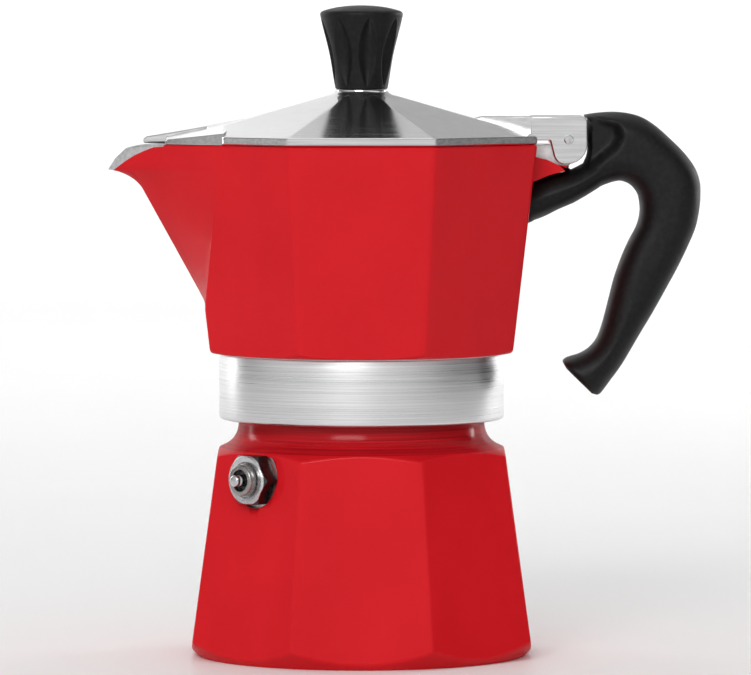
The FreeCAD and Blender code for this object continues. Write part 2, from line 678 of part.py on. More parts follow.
def make_knob():
    body = new_body("knob", KNOB_TURN)
    turned(body, "blank", [
        (0.0, "knob_z"), ("knob_foot_r", "knob_z", [(7.3, 150.5), (8.06, 154.7), (8.8, 158.9),
                                                    (9.9, 163.0)]),
        (("knob_rim_r", -0.2), 166.0, [(("knob_rim_r", 0.0), 166.9)]),
        (("knob_rim_r", -0.5), 167.5, [(6.0, 168.6)]), (0.0, "knob_top_z")])
    sketch = new_sketch(body, "XZ_Plane")
    leaf_foot, leaf_top = (9.3, 148.4), (12.4, 165.2)
    outline(sketch, [(*leaf_foot, [(7.3, 158.0)]), leaf_top])
    sketch.addGeometry(Part.LineSegment(Vector(*leaf_foot, 0), Vector(*leaf_top, 0)), True)
    flute = body.newObject("PartDesign::Groove", "flute")
    flute.Profile = sketch
    flute.ReferenceAxis = (sketch, ["Axis0"])
    flute.Angle = 360.0
    doc.recompute()
    around(body, "flutes", flute, SIZES["flutes"])
    turned(body, "insert_room", [(0.0, ("knob_z", -0.2)), ("knob_insert_r", ("knob_z", -0.2)),
                                 ("knob_insert_r", ("knob_z", 11.3)), (0.0, ("knob_z", 11.3))],
           cut=True)
    return body


def make_knob_fixing():
    insert = new_body("knob_insert")
    foot, head = ("knob_z", 0.4), ("knob_z", 10.8)
    turned(insert, "sleeve", [("insert_bore_r", foot), ("knob_insert_r", foot),
                              ("knob_insert_r", head), ("insert_bore_r", head)])
    washer = new_body("knob_washer")
    washer_low = ("hollow_top_z", -0.7)
    turned(washer, "ring", [(2.2, washer_low), (5.5, washer_low), (5.5, "hollow_top_z"),
                            (2.2, "hollow_top_z")])
    screw = new_body("knob_screw")
    turned(screw, "screw", [(0.0, 141.1), (2.6, 141.1, [(3.5, 141.6)]), (3.8, washer_low),
                            ("screw_r", washer_low), ("screw_r", 157.0), (0.0, 157.0)])
    return [insert, washer, screw]


pieces = [make_boiler(), *make_valve(), make_funnel(),
          perforated_disc("funnel_filter", ("basket_r", -0.9), ("basket_floor_z", 0.0), 0.6, 5, 0.8),
          make_gasket(),
          perforated_disc("filter_plate", "plate_r", ("plate_z", 0.0), 0.8, 6, 0.7),
          make_upper_chamber(), make_hinge_pin(), make_handle(), make_handle_screw(), make_lid(),
          make_knob(), *make_knob_fixing()]
doc.recompute()

# ---------------------------------------------------------------------------------------------
# Check everything, then write each piece
# ---------------------------------------------------------------------------------------------
for item in doc.Objects:
    bad = [state for state in item.State if state in ("Invalid", "Error")]
    if bad:
        owners = ", ".join(user.Name for user in item.InList)
        raise RuntimeError(f"{item.Label} ({item.Name}) is {bad}, used by {owners}")
os.makedirs("parts", exist_ok=True)
for piece in pieces:
    shape = piece.Shape
    if shape.isNull() or not shape.isValid():
        raise RuntimeError(f"{piece.Label} has no valid shape")
    box = shape.BoundBox
    print(f"{piece.Label:15s} solids {len(shape.Solids)} volume {shape.Volume:10.1f} "
          f"x {box.XMin:.1f}..{box.XMax:.1f} y {box.YMin:.1f}..{box.YMax:.1f} "
          f"z {box.ZMin:.1f}..{box.ZMax:.1f}")
    shape.exportStep(f"parts/{piece.Label}.step")
print(f"{len(pieces)} pieces written")
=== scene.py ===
# %% [markdown]
# # A stovetop moka pot
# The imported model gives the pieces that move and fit. This lesson draws what the eye sees: the red
# enamelled cup and jug, the turned band between them, the polished lid, the moulded knob and handle,
# and the safety valve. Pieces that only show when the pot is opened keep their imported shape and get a
# finish. Lengths in the shape functions are in millimetres, and the mesh helper turns them into metres.

import math

import bpy
import numpy as np
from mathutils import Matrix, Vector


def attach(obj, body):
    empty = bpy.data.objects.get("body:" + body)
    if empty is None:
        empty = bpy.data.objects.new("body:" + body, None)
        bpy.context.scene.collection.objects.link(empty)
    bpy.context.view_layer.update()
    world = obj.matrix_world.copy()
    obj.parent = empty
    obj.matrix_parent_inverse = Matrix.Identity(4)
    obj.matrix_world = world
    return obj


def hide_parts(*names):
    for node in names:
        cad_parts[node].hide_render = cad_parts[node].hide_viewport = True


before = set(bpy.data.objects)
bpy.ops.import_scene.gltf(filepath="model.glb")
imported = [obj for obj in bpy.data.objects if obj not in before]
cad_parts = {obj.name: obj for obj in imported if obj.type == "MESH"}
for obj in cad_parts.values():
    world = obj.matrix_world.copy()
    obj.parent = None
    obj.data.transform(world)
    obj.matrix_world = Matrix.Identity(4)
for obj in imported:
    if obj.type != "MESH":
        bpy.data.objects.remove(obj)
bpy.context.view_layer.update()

# %% [markdown]
# ## Meshes from grids
# Every new piece is a grid of points: one way round the piece, the other way along it. Neighbouring
# points make four-sided faces. A grid that ends on the pot's axis closes in a fan around one point,
# and a cut-off one closes with a flat cap, so each piece is a shut skin with its faces outwards.

# %% Grid helpers
MM = 0.001


def grid_quads(rows, columns):
    """Faces between neighbouring rows of a grid whose last column joins its first."""
    row, column = np.meshgrid(np.arange(rows - 1), np.arange(columns), indexing="ij")
    following = (column + 1) % columns
    corners = (row * columns + column, row * columns + following,
               (row + 1) * columns + following, (row + 1) * columns + column)
    return np.stack(corners, axis=-1).reshape(-1, 4)


def build(name, points, faces, materials, face_materials=None, crease=35.0):
    """A mesh object from points in millimetres. Edges sharper than crease degrees stay crisp."""
    mesh = bpy.data.meshes.new(name)
    mesh.from_pydata((np.asarray(points) * MM).tolist(), [], faces)
    for material in materials:
        mesh.materials.append(material)
    if face_materials is not None:
        mesh.polygons.foreach_set("material_index", np.asarray(face_materials, dtype=np.int32))
    mesh.polygons.foreach_set("use_smooth", np.ones(len(mesh.polygons), dtype=bool))
    mesh.set_sharp_from_angle(angle=math.radians(crease))
    mesh.update()
    piece = bpy.data.objects.new(name, mesh)
    bpy.context.scene.collection.objects.link(piece)
    print(f"{name}: {len(mesh.vertices)} points, {len(mesh.polygons)} faces")
    return piece


def skin(name, grid, materials, row_materials=None, start=None, end=None, crease=35.0):
    """A closed piece from rings stacked along it. start and end are the points that its two ends
    fan in to; without one, that end gets a flat cap."""
    rows, columns = grid.shape[:2]
    points = [grid.reshape(-1, 3)]
    faces = grid_quads(rows, columns).tolist()
    kinds = np.zeros(rows - 1, int) if row_materials is None else row_materials
    if kinds.ndim == 1:
        kinds = np.repeat(kinds[:, None], columns, axis=1)
    kinds = kinds.ravel().tolist()
    ring = np.arange(columns)
    count = rows * columns
    for tip, first, turn in ((start, 0, -1), (end, (rows - 1) * columns, 1)):
        edge = (first + ring)[::turn]
        kind = kinds[0] if turn < 0 else kinds[-1]
        if tip is None:
            faces.append(edge.tolist())
            kinds.append(kind)
            continue
        points.append(np.asarray([tip], dtype=float))
        faces += np.stack([edge, np.roll(edge, -1), np.full(columns, count)], axis=-1).tolist()
        kinds += [kind] * columns
        count += 1
    return build(name, np.concatenate(points), faces, materials, kinds, crease)


def finish_piece(piece, body, slot, *nodes):
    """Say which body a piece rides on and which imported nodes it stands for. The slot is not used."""
    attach(piece, body)
    if nodes:
        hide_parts(*nodes)
    return piece


def bore_out(piece, cutter):
    """Cut a hole in a piece by a Boolean, keep the result as its mesh, and drop the cutter."""
    cut = piece.modifiers.new("bore", "BOOLEAN")
    cut.operation = "DIFFERENCE"
    cut.solver = "EXACT"
    cut.object = cutter
    seen = piece.evaluated_get(bpy.context.evaluated_depsgraph_get())
    cut_mesh = bpy.data.meshes.new_from_object(seen)
    piece.modifiers.clear()
    piece.data = cut_mesh
    bpy.data.objects.remove(cutter, do_unlink=True)
    print(f"{piece.name}: bored, {len(cut_mesh.vertices)} points")
    return piece


def soften(piece, width, segments=2):
    """Round a piece's sharp edges by a live bevel."""
    bevel = piece.modifiers.new("edge", "BEVEL")
    bevel.width = width * MM
    bevel.segments = segments
    bevel.limit_method = "ANGLE"
    bevel.angle_limit = math.radians(30.0)
    bevel.harden_normals = False
    return piece


# %% [markdown]
# ## Finishes
# Each finish is a principled shader with noise on Object coordinates, which stay fixed to the metal.
# Turned and brushed metal come from noise that is squeezed hard along one axis, so that it makes long
# fine lines. The enamel is smooth with a faint ripple, and the moulded plastic has a fine grain.

# %% Finishes
def new_material(name, **sockets):
    """A principled material with some of its sockets set; an underscore stands for a space."""
    material = bpy.data.materials.new(name)
    material.use_nodes = True
    shader = material.node_tree.nodes["Principled BSDF"]
    for socket, value in sockets.items():
        shader.inputs[socket.replace("_", " ")].default_value = value
    return material


def noise(material, scale, detail=4.0, roughness=0.5):
    """Noise on Object coordinates; scale is its frequency along X, Y and Z, per metre."""
    nodes, links = material.node_tree.nodes, material.node_tree.links
    place = nodes.new("ShaderNodeTexCoord")
    stretch = nodes.new("ShaderNodeMapping")
    stretch.inputs["Scale"].default_value = scale
    texture = nodes.new("ShaderNodeTexNoise")
    texture.inputs["Scale"].default_value = 1.0
    texture.inputs["Detail"].default_value = detail
    texture.inputs["Roughness"].default_value = roughness
    links.new(place.outputs["Object"], stretch.inputs["Vector"])
    links.new(stretch.outputs["Vector"], texture.inputs["Vector"])
    return texture.outputs["Fac"]


def between(material, factor, low, high, socket):
    """Spread a 0 to 1 value over a range and feed it to one of the shader's sockets."""
    nodes, links = material.node_tree.nodes, material.node_tree.links
    spread = nodes.new("ShaderNodeMapRange")
    spread.inputs["From Min"].default_value = 0.3
    spread.inputs["From Max"].default_value = 0.7
    spread.inputs["To Min"].default_value = low
    spread.inputs["To Max"].default_value = high
    links.new(factor, spread.inputs["Value"])
    links.new(spread.outputs["Result"], nodes["Principled BSDF"].inputs[socket])


def tint(material, factor, dark, light):
    """Mix two colours by a 0 to 1 value for the base colour."""
    nodes, links = material.node_tree.nodes, material.node_tree.links
    ramp = nodes.new("ShaderNodeValToRGB")
    ramp.color_ramp.elements[0].position = 0.3
    ramp.color_ramp.elements[1].position = 0.7
    ramp.color_ramp.elements[0].color = (*dark, 1.0)
    ramp.color_ramp.elements[1].color = (*light, 1.0)
    links.new(factor, ramp.inputs["Fac"])
    links.new(ramp.outputs["Color"], nodes["Principled BSDF"].inputs["Base Color"])


def relief(material, factor, depth, strength=1.0):
    """Raise the surface by noise; depth is in millimetres."""
    nodes, links = material.node_tree.nodes, material.node_tree.links
    bump = nodes.new("ShaderNodeBump")
    bump.inputs["Distance"].default_value = depth * MM
    bump.inputs["Strength"].default_value = strength
    links.new(factor, bump.inputs["Height"])
    links.new(bump.outputs["Normal"], nodes["Principled BSDF"].inputs["Normal"])


def metal(name, dark, light, low, high, scale, depth):
    """A bare metal: colour, roughness and relief all follow one field of lines or grains."""
    material = new_material(name, Metallic=1.0)
    field = noise(material, scale)
    tint(material, field, dark, light)
    between(material, field, low, high, "Roughness")
    relief(material, field, depth)
    return material


enamel = new_material("red_enamel", Specular_IOR_Level=0.0, Coat_Weight=0.26, Coat_Roughness=0.10)
tint(enamel, noise(enamel, (45.0, 45.0, 30.0)), (0.570, 0.0080, 0.0135), (0.630, 0.0105, 0.0165))
between(enamel, noise(enamel, (160.0, 160.0, 160.0)), 0.17, 0.23, "Roughness")
relief(enamel, noise(enamel, (420.0, 420.0, 420.0), detail=2.0), 0.015)

# The neck's enamel: real turning streaks, and a base colour well darker than the enamel's, painted shade for
# the hollow fillet under the band.
turned_enamel_painted_shade = new_material("turned_enamel_painted_shade", Specular_IOR_Level=0.0, Coat_Weight=0.26,
                             Coat_Roughness=0.16)
streaks = noise(turned_enamel_painted_shade, (22.0, 22.0, 2600.0), detail=5.0)
tint(turned_enamel_painted_shade, streaks, (0.300, 0.0050, 0.0085), (0.560, 0.0095, 0.0155))
between(turned_enamel_painted_shade, streaks, 0.20, 0.34, "Roughness")
relief(turned_enamel_painted_shade, streaks, 0.03)

thermoset = new_material("black_thermoset", Specular_IOR_Level=0.20)
tint(thermoset, noise(thermoset, (900.0, 900.0, 900.0)), (0.0035, 0.0035, 0.0038),
     (0.0090, 0.0090, 0.0095))
between(thermoset, noise(thermoset, (260.0, 260.0, 260.0)), 0.42, 0.52, "Roughness")
relief(thermoset, noise(thermoset, (2600.0, 2600.0, 2600.0)), 0.035)

polished = metal("polished_aluminium", (0.63, 0.63, 0.635), (0.77, 0.77, 0.775), 0.12, 0.20,
                 (40.0, 1500.0, 1500.0), 0.0025)
turned = metal("turned_aluminium", (0.60, 0.60, 0.61), (0.83, 0.83, 0.84), 0.24, 0.40,
               (18.0, 18.0, 5200.0), 0.012)
cast = metal("cast_aluminium", (0.55, 0.55, 0.555), (0.74, 0.74, 0.745), 0.34, 0.50,
             (900.0, 900.0, 900.0), 0.03)
spun = metal("spun_aluminium", (0.62, 0.62, 0.63), (0.80, 0.80, 0.81), 0.26, 0.38,
             (120.0, 120.0, 2500.0), 0.01)
steel = metal("bright_steel", (0.52, 0.52, 0.53), (0.70, 0.70, 0.71), 0.16, 0.28,
              (1500.0, 1500.0, 1500.0), 0.004)
nickel = metal("dull_nickel", (0.30, 0.29, 0.28), (0.38, 0.37, 0.36), 0.22, 0.32,
               (900.0, 900.0, 900.0), 0.002)
# Near-black metal, not a real finish: painted shade in the valve collar's groove and hole, and a painted
# dark reflection on the hexagon's shank and sides.
nickel_painted_shade = metal("nickel_painted_shade", (0.055, 0.055, 0.055), (0.085, 0.085, 0.085), 0.24, 0.34,
                    (260.0, 260.0, 260.0), 0.004)
brass = metal("turned_brass", (0.55, 0.38, 0.14), (0.74, 0.53, 0.22), 0.22, 0.36,
              (200.0, 200.0, 3800.0), 0.01)
fibre = new_material("fibre_washer")
tint(fibre, noise(fibre, (1800.0, 1800.0, 1800.0)), (0.16, 0.022, 0.016), (0.26, 0.05, 0.03))
between(fibre, noise(fibre, (900.0, 900.0, 900.0)), 0.6, 0.8, "Roughness")
rubber = new_material("seal_rubber", Specular_IOR_Level=0.35)
tint(rubber, noise(rubber, (1200.0, 1200.0, 1200.0)), (0.012, 0.012, 0.012), (0.03, 0.03, 0.03))
between(rubber, noise(rubber, (700.0, 700.0, 700.0)), 0.5, 0.7, "Roughness")
gasket_rubber = new_material("gasket_rubber", Specular_IOR_Level=0.4)
tint(gasket_rubber, noise(gasket_rubber, (500.0, 500.0, 500.0)), (0.62, 0.61, 0.56),
     (0.74, 0.73, 0.69))
between(gasket_rubber, noise(gasket_rubber, (900.0, 900.0, 900.0)), 0.45, 0.62, "Roughness")
relief(gasket_rubber, noise(gasket_rubber, (1500.0, 1500.0, 1500.0)), 0.03)
print("finishes:", len(bpy.data.materials))

# %% [markdown]
# ## Eight sides, softly
# The pot is an octagon that changes size with height. In polar form a flat side at distance d from the
# axis is d over the cosine of the angle from its middle. The smaller of two neighbouring sides is the
# octagon, and a soft minimum rounds the edge between them, as the press or the mould does. The columns
# crowd together at the edges and at the middles of the sides, where the spout has its keel.

# %% Octagon functions
def soft_min(first, second, blend):
    """The smaller of two values, rounded over where they are within blend of each other."""
    share = np.clip(0.5 + 0.5 * (second - first) / blend, 0.0, 1.0)
    return second * (1.0 - share) + first * share - blend * share * (1.0 - share)


def polygon_radius(angle, flat, sides=8, blend=0.5):
    """Distance from the axis to a regular polygon whose flats are flat away from the axis."""
    half = math.pi / sides
    off_middle = (angle + half) % (2.0 * half) - half
    near = flat / np.cos(off_middle)
    neighbour = flat / np.cos(2.0 * half - np.abs(off_middle))
    return soft_min(near, neighbour, blend)


def crowded_angles(per_half, crowd=0.82):
    """Angles round the pot, crowded at the middle and at the edge of every side."""
    step = np.linspace(0.0, 1.0, per_half, endpoint=False)
    eased = (1.0 - crowd) * step + crowd * (0.5 - 0.5 * np.cos(np.pi * step))
    return np.concatenate([(half + eased) * math.pi / 8.0 for half in range(16)])


def rings(radius, height, angle):
    """Rows of points at a radius and a height, each a number a row or a value a point."""
    radius, height, angle = np.broadcast_arrays(radius, height, angle)
    return np.stack([radius * np.cos(angle), radius * np.sin(angle), height], axis=-1)


def spaced(low, high, count, crowd=0.0):
    """Numbers from low to high, crowded towards both ends by crowd."""
    step = np.linspace(0.0, 1.0, count)
    return low + (high - low) * ((1.0 - crowd) * step + crowd * (0.5 - 0.5 * np.cos(np.pi * step)))


def profile(*corners, edge=0.25):
    """A turned profile of (radius, height) corners, each corner cut by a small bevel."""
    corners = np.asarray(corners, dtype=float)
    points = [corners[0]]
    for before, here, after in zip(corners[:-2], corners[1:-1], corners[2:]):
        for other in (before, after):
            way = other - here
            reach = np.linalg.norm(way)
            points.append(here + way / reach * min(edge, 0.3 * reach))
    points.append(corners[-1])
    return np.asarray(points)


ANGLE = crowded_angles(17)
column = ANGLE[None, :]
print("columns:", len(ANGLE), "least step", round(math.degrees(np.diff(ANGLE).min()), 2), "degrees")


def turned_rows(points, angle=column):
    """Rings for a turned profile of (radius, height) points."""
    return rings(points[:, :1], points[:, 1:], angle)


# %% [markdown]
# ## The valve's axis
# The safety valve points out of the boiler's front left side. Its pieces, and the hole that it sits
# in, are turned about an upright axis first and then laid on the valve's axis by three directions.

# %% Valve axis
VALVE_HEIGHT = 47.6
OUT = np.array([-1.0, -1.0, 0.0]) / math.sqrt(2.0)
SIDE = np.array([1.0, -1.0, 0.0]) / math.sqrt(2.0)
UP = np.array([0.0, 0.0, 1.0])


def on_valve_axis(grid):
    """Carry a piece from the upright axis to the valve's axis."""
    return grid[..., :1] * SIDE + grid[..., 1:2] * UP + grid[..., 2:] * OUT + VALVE_HEIGHT * UP


def valve_end(distance):
    """The point on the valve's axis at a distance from the pot's."""
    return on_valve_axis(np.array([0.0, 0.0, distance]))


# %% [markdown]
# ## Screw thread
# The boiler's neck and the band are joined by a thread. A ridge that climbs by its pitch each turn is
# a height that depends on the angle: the distance from a point to the ridge's middle gives how far it
# stands out. Drawn into the surface itself, the ridge shows when the pot is unscrewed.

# %% Thread function
PITCH = 3.0
THREAD_LOW = 62.8
THREAD_TURNS = 2.0


def ridge(angle, height, start):
    """0 to 1 where a helical ridge stands, with sloping flanks and run-out ends."""
    turns = (height - start) / PITCH - angle / (2.0 * math.pi)
    nearest = np.clip(np.round(turns), 0.0, THREAD_TURNS - 1.0)
    offset = np.abs(turns - nearest) * PITCH
    return np.clip((0.85 - offset) / 0.5, 0.0, 1.0)


# %% [markdown]
# ## Boiler
# The boiler is one pressed and machined cup. From the middle of its underside the skin runs out, up a
# 45 degree turned foot, up the eight leaning sides, over a turned shoulder that cuts each side in a
# scallop, through a hollow fillet to the threaded neck, over the rim and down inside. Cutting the
# octagon by a cone is a minimum again: the octagon's radius against the cone's.

# %% Boiler
BASE_FLAT = 44.4
SIDE_LEAN = 0.1351
FOOT_RADIUS = 42.7
SHOULDER = (37.1, 54.1)
SHOULDER_SLOPE = 0.4545
NECK_RADIUS = 32.0
THREAD_DEPTH = 1.8
BOILER_RIM = 70.0


def boiler_outside(angle, height):
    """The leaning octagon, cut by the foot's cone below and the shoulder's cone above."""
    side = polygon_radius(angle, BASE_FLAT - SIDE_LEAN * height, blend=0.55)
    foot = FOOT_RADIUS + 1.02 * height
    shoulder = SHOULDER[0] + (SHOULDER[1] - height) / SHOULDER_SLOPE
    return soft_min(soft_min(side, foot, 0.7), shoulder, 0.5)


def bezier(first, pull_first, pull_last, last, count):
    """Points on a cubic curve in a plane."""
    t = np.linspace(0.0, 1.0, count)[:, None]
    controls = [np.asarray(point, dtype=float) for point in (first, pull_first, pull_last, last)]
    weights = ((1 - t) ** 3, 3 * t * (1 - t) ** 2, 3 * t * t * (1 - t), t ** 3)
    return sum(weight * point for weight, point in zip(weights, controls))


underside = profile((6.0, 0.0), (36.0, 0.0), (FOOT_RADIUS - 0.6, 0.0))
side_heights = np.concatenate([spaced(0.05, 5.0, 26), spaced(5.2, 51.0, 14), spaced(51.2, 54.55, 26)])
side_heights = side_heights[:, None]
fillet = bezier((36.0, 54.60), (33.9, 55.50), (NECK_RADIUS, 57.4), (NECK_RADIUS, 60.8), 12)[1:]
neck_heights = spaced(61.6, 69.7, 60)[:, None]
neck = rings(NECK_RADIUS + THREAD_DEPTH * ridge(column, neck_heights, THREAD_LOW), neck_heights, column)
mouth = profile((NECK_RADIUS, 69.7), (31.7, BOILER_RIM), (30.0, BOILER_RIM), (30.0, 69.0), (28.2, 69.0),
                (28.2, 57.4), (33.0, 54.6), (34.2, 51.0), (40.6, 6.5), (39.8, 4.2), (38.0, 3.2),
                (12.0, 3.2))[1:]
boiler_parts = [turned_rows(underside), rings(boiler_outside(column, side_heights), side_heights, column),
                turned_rows(fillet), neck, turned_rows(mouth)]
RED, BARE, TURNED = 0, 1, 2
red_rows = sum(len(part) for part in boiler_parts[:3])
boiler_rows = np.full(sum(len(part) for part in boiler_parts) - 1, BARE)
boiler_rows[len(underside) - 1:red_rows + 1] = RED
# The shoulder's top, the hollow fillet and the neck's foot take the turned enamel, darker as painted shade.
boiler_rows[red_rows - len(fillet) - 3:red_rows + 1] = TURNED
boiler_skin = skin("boiler_cup", np.concatenate(boiler_parts), [enamel, cast, turned_enamel_painted_shade], boiler_rows,
                   start=(0, 0, 0), end=(0, 0, 3.2))
bore_angle = np.linspace(0.0, 2.0 * math.pi, 64, endpoint=False)[None, :]
bore_profile = np.array([(2.0, 30.0), (4.0, 30.0), (4.0, 37.2), (7.4, 37.2), (7.4, 45.0), (2.0, 45.0)])
bore_cutter = skin("valve_bore", on_valve_axis(turned_rows(bore_profile, bore_angle)), [cast],
                   start=valve_end(30.0), end=valve_end(45.0))
bore_out(boiler_skin, bore_cutter)
finish_piece(boiler_skin, "base", "red_enamel", "boiler")

# %% [markdown]
# ## Upper chamber
# Band, jug, spout and coffee column are one casting, so they are one skin. Each side of the spout is a
# straight-lined surface between the keel in front and a line that climbs across the next side of the
# octagon. The columns beside the keel are moved so that one of them follows that line all the way up,
# which keeps it crisp. The rim is where the wall meets the lip's outline, found by halving. The paint
# ends at an outline of its own, so bare metal shows on the lip and nowhere else along the rim.

# %% Jug functions
JUG_FOOT = 78.8
JUG_RIM = 133.1
WALL = 2.8
BAND_RADIUS = 37.05
BAND_FOOT = 61.6
TIP = 66.1

JUG_FLAT_AT_ZERO = 30.0
JUG_LEAN = 0.1142
SPOUT_FOOT = 91.0
KEEL_LEAN = 0.552
JOIN_LEAN = 0.1108
BEAK_WIDTH = 7.5
beak_curve = bezier((57.0, 121.1), (58.2, 123.4), (61.6, 125.9), (TIP, 126.35), 40)
BEAK = (np.concatenate([beak_curve[:, 1], [140.0]]),
        np.concatenate([beak_curve[:, 0], [TIP]]))
LIP = (np.array([50.0, 54.0, 56.9, 59.8, 61.7, 63.2, TIP, 70.0]),
       np.array([JUG_RIM, 133.05, 132.85, 132.55, 131.9, 130.9, 126.5, 126.4]))
PAINT_EDGE = (np.array([46.0, 50.0, 53.7, 55.3, 58.2, 61.4, 64.5, 70.0]),
              np.array([JUG_RIM - 0.12, 132.85, 132.4, 131.8, 130.6, 128.6, 126.2, 125.6]))


def jug_flat(height):
    """How far the jug's flat sides stand from the axis."""
    return JUG_FLAT_AT_ZERO + JUG_LEAN * height


def jug_ring(angle, height, foot, inset):
    """Plan position of the jug's wall: octagon, and in front of it the spout's two sides.

    The line where a spout side meets the octagon starts on the octagon's edge at the keel's foot and
    moves round as it climbs. Angles short of that line stretch with it, and those beyond close up.
    The keel leans out evenly, and a beak narrow in plan draws it out further towards the tip."""
    flat = jug_flat(height) - inset
    foot_flat = jug_flat(foot) - inset
    climb = np.maximum(height - foot, 0.0)
    side_x = foot_flat - JOIN_LEAN * climb
    side_y = flat * math.sqrt(2.0) - side_x
    join = np.where(height > foot, np.arctan2(side_y, side_x), math.pi / 8.0)
    from_keel = angle - math.pi
    away = np.abs(from_keel)
    edge = math.pi / 8.0
    stretched = np.where(away < edge, away * join / edge,
                         join + (away - edge) * (math.pi / 4.0 - join) / edge)
    moved = np.where(away < math.pi / 4.0, stretched, away)
    turned_angle = math.pi + np.sign(from_keel) * moved
    octagon = polygon_radius(turned_angle, flat)
    keel_x = foot_flat + KEEL_LEAN * climb
    length = np.hypot(side_y, keel_x - side_x)
    along = side_y * np.cos(moved) + (keel_x - side_x) * np.sin(moved)
    mirrored = side_y * np.cos(moved) - (keel_x - side_x) * np.sin(moved)
    reach = side_y * keel_x
    tiny = 1e-3 * length
    near_side = reach / np.maximum(along, tiny)
    far_side = reach / np.maximum(mirrored, tiny)
    spout = soft_min(near_side, far_side, 0.9)
    even_keel = jug_flat(SPOUT_FOOT) + KEEL_LEAN * (height - SPOUT_FOOT)
    beak = np.where(height > BEAK[0][0], np.maximum(np.interp(height, *BEAK) - even_keel, 0.0), 0.0)
    beak = np.where(inset > 0.0, 0.8 * beak, beak)
    spout = spout + beak / (1.0 + (spout * np.sin(moved) / BEAK_WIDTH) ** 2) ** 1.5
    in_spout = (away <= edge) & (height > foot)
    return np.where(in_spout, spout, octagon), turned_angle


def outside(angle, height):
    """The jug's outer wall, rounded in below to the band."""
    radius, turned_angle = jug_ring(angle, height, SPOUT_FOOT, 0.0)
    up = np.clip((height - JUG_FOOT) / 2.7, 0.0, 1.0)
    foot = BAND_RADIUS + 0.25 + 6.2 * np.sqrt(1.0 - (1.0 - up) ** 2)
    radius = np.where(up < 1.0, soft_min(radius, foot, 1.2), radius)
    return radius, turned_angle


def inside(angle, height):
    """The jug's inner wall. Its keel starts a little higher, which thickens the spout's foot."""
    return jug_ring(angle, height, SPOUT_FOOT + 3.5, WALL)


def meeting_height(wall, outline):
    """For every column, the height where a wall crosses an outline drawn in X and Z."""
    low = np.full_like(ANGLE, 100.0)
    high = np.full_like(ANGLE, JUG_RIM + 0.5)
    for _ in range(40):
        middle = 0.5 * (low + high)
        radius, turned_angle = wall(ANGLE, middle)
        over = middle > np.interp(-radius * np.cos(turned_angle), *outline)
        high = np.where(over, middle, high)
        low = np.where(over, low, middle)
    return 0.5 * (low + high)


rim_out = meeting_height(outside, LIP)
rim_in = meeting_height(inside, LIP)
paint_top = meeting_height(outside, PAINT_EDGE)
print("rim height:", rim_out.min().round(2), "to", rim_out.max().round(2))


# %% Upper chamber
def wall_rows(wall, low, high, steps):
    """Rings of a wall between two heights that may differ from column to column."""
    height = low + (high - low) * steps[:, None]
    radius, turned_angle = wall(np.broadcast_to(ANGLE, height.shape), height)
    return rings(radius, height, turned_angle)


bore = profile((4.0, 112.0), (4.0, 83.0), (5.0, 79.0), (5.0, 78.0), (26.0, 74.0), (34.1, 74.0),
               (34.1, 72.6))
bore_heights = spaced(72.4, 62.4, 66)[:, None]
nut_start = THREAD_LOW + PITCH / 2.0
nut = rings(34.1 - THREAD_DEPTH * ridge(column, bore_heights, nut_start), bore_heights, column)
band = profile((34.1, 62.2), (34.1, BAND_FOOT), (36.3, BAND_FOOT), (36.85, 61.9), (BAND_RADIUS, 62.5),
               (BAND_RADIUS, 70.0), (BAND_RADIUS, JUG_FOOT - 0.35), (BAND_RADIUS - 0.25, JUG_FOOT), edge=0.2)
rise = np.concatenate([np.linspace(0.0, 1.0, 18, endpoint=False) ** 1.6 * 0.06,
                       np.linspace(0.06, 0.75, 26, endpoint=False),
                       np.linspace(0.75, 1.0, 34)])
rim_bevel = 0.45
LIP_START_X = -51.5
painted = wall_rows(outside, np.full_like(ANGLE, JUG_FOOT), np.minimum(paint_top, rim_out - 0.5), rise)
bare_lip = wall_rows(outside, np.minimum(paint_top, rim_out - rim_bevel - 0.02), rim_out - rim_bevel,
                     np.linspace(0.0, 1.0, 6)[1:])
outer_rim = wall_rows(outside, rim_out, rim_out, np.zeros(1))[0]
outer_rim[:, :2] *= 1.0 - rim_bevel / np.hypot(outer_rim[:, :1], outer_rim[:, 1:2])
inner_rim = wall_rows(inside, rim_in, rim_in, np.zeros(1))[0]
across = np.array([0.0, 0.35, 0.65, 0.90])[:, None, None]
rim_top = outer_rim + (inner_rim - outer_rim) * across
FLOOR = 80.8
fall = spaced(0.0, 1.0, 52, crowd=0.3)
lining = wall_rows(inside, rim_in - 0.2, np.full_like(ANGLE, FLOOR + 2.2), fall)
floor_edge = lining[-1]
sweep = np.array([[0.12, 0.45], [0.3, 0.8], [0.6, 1.0], [2.5, 1.0]])
floor_rows = []
for inward, down in sweep:
    radius = np.hypot(floor_edge[:, 0], floor_edge[:, 1]) - 2.0 * inward
    floor_rows.append(rings(radius, FLOOR + 2.2 * (1.0 - down), ANGLE))
column_profile = profile((14.0, FLOOR), (9.4, FLOOR), (8.2, FLOOR + 1.2), (7.0, 86.0), (6.15, 106.0))
tube_heights = np.concatenate([spaced(106.2, 114.6, 42), [115.4]])[:, None]
to_outlet = np.abs((column % math.pi) - math.pi / 2.0) * 6.0
outlet = np.clip((2.2 - np.hypot(to_outlet, tube_heights - 111.0)) / 0.35, 0.0, 1.0)
tube = rings(6.0 - 3.4 * outlet, tube_heights, column)
column_top = profile((5.95, 115.8), (5.0, 117.4), (3.6, 118.0), (1.0, 118.0), edge=0.5)
chamber_parts = [turned_rows(bore), nut, turned_rows(band), painted, bare_lip, rim_top, lining,
                 np.stack(floor_rows), turned_rows(column_profile), tube, turned_rows(column_top)]
lengths = [len(part) for part in chamber_parts]
starts = np.concatenate([[0], np.cumsum(lengths)])
chamber_rows = np.full((starts[-1] - 1, len(ANGLE)), BARE)
chamber_rows[starts[2]:starts[3]] = TURNED
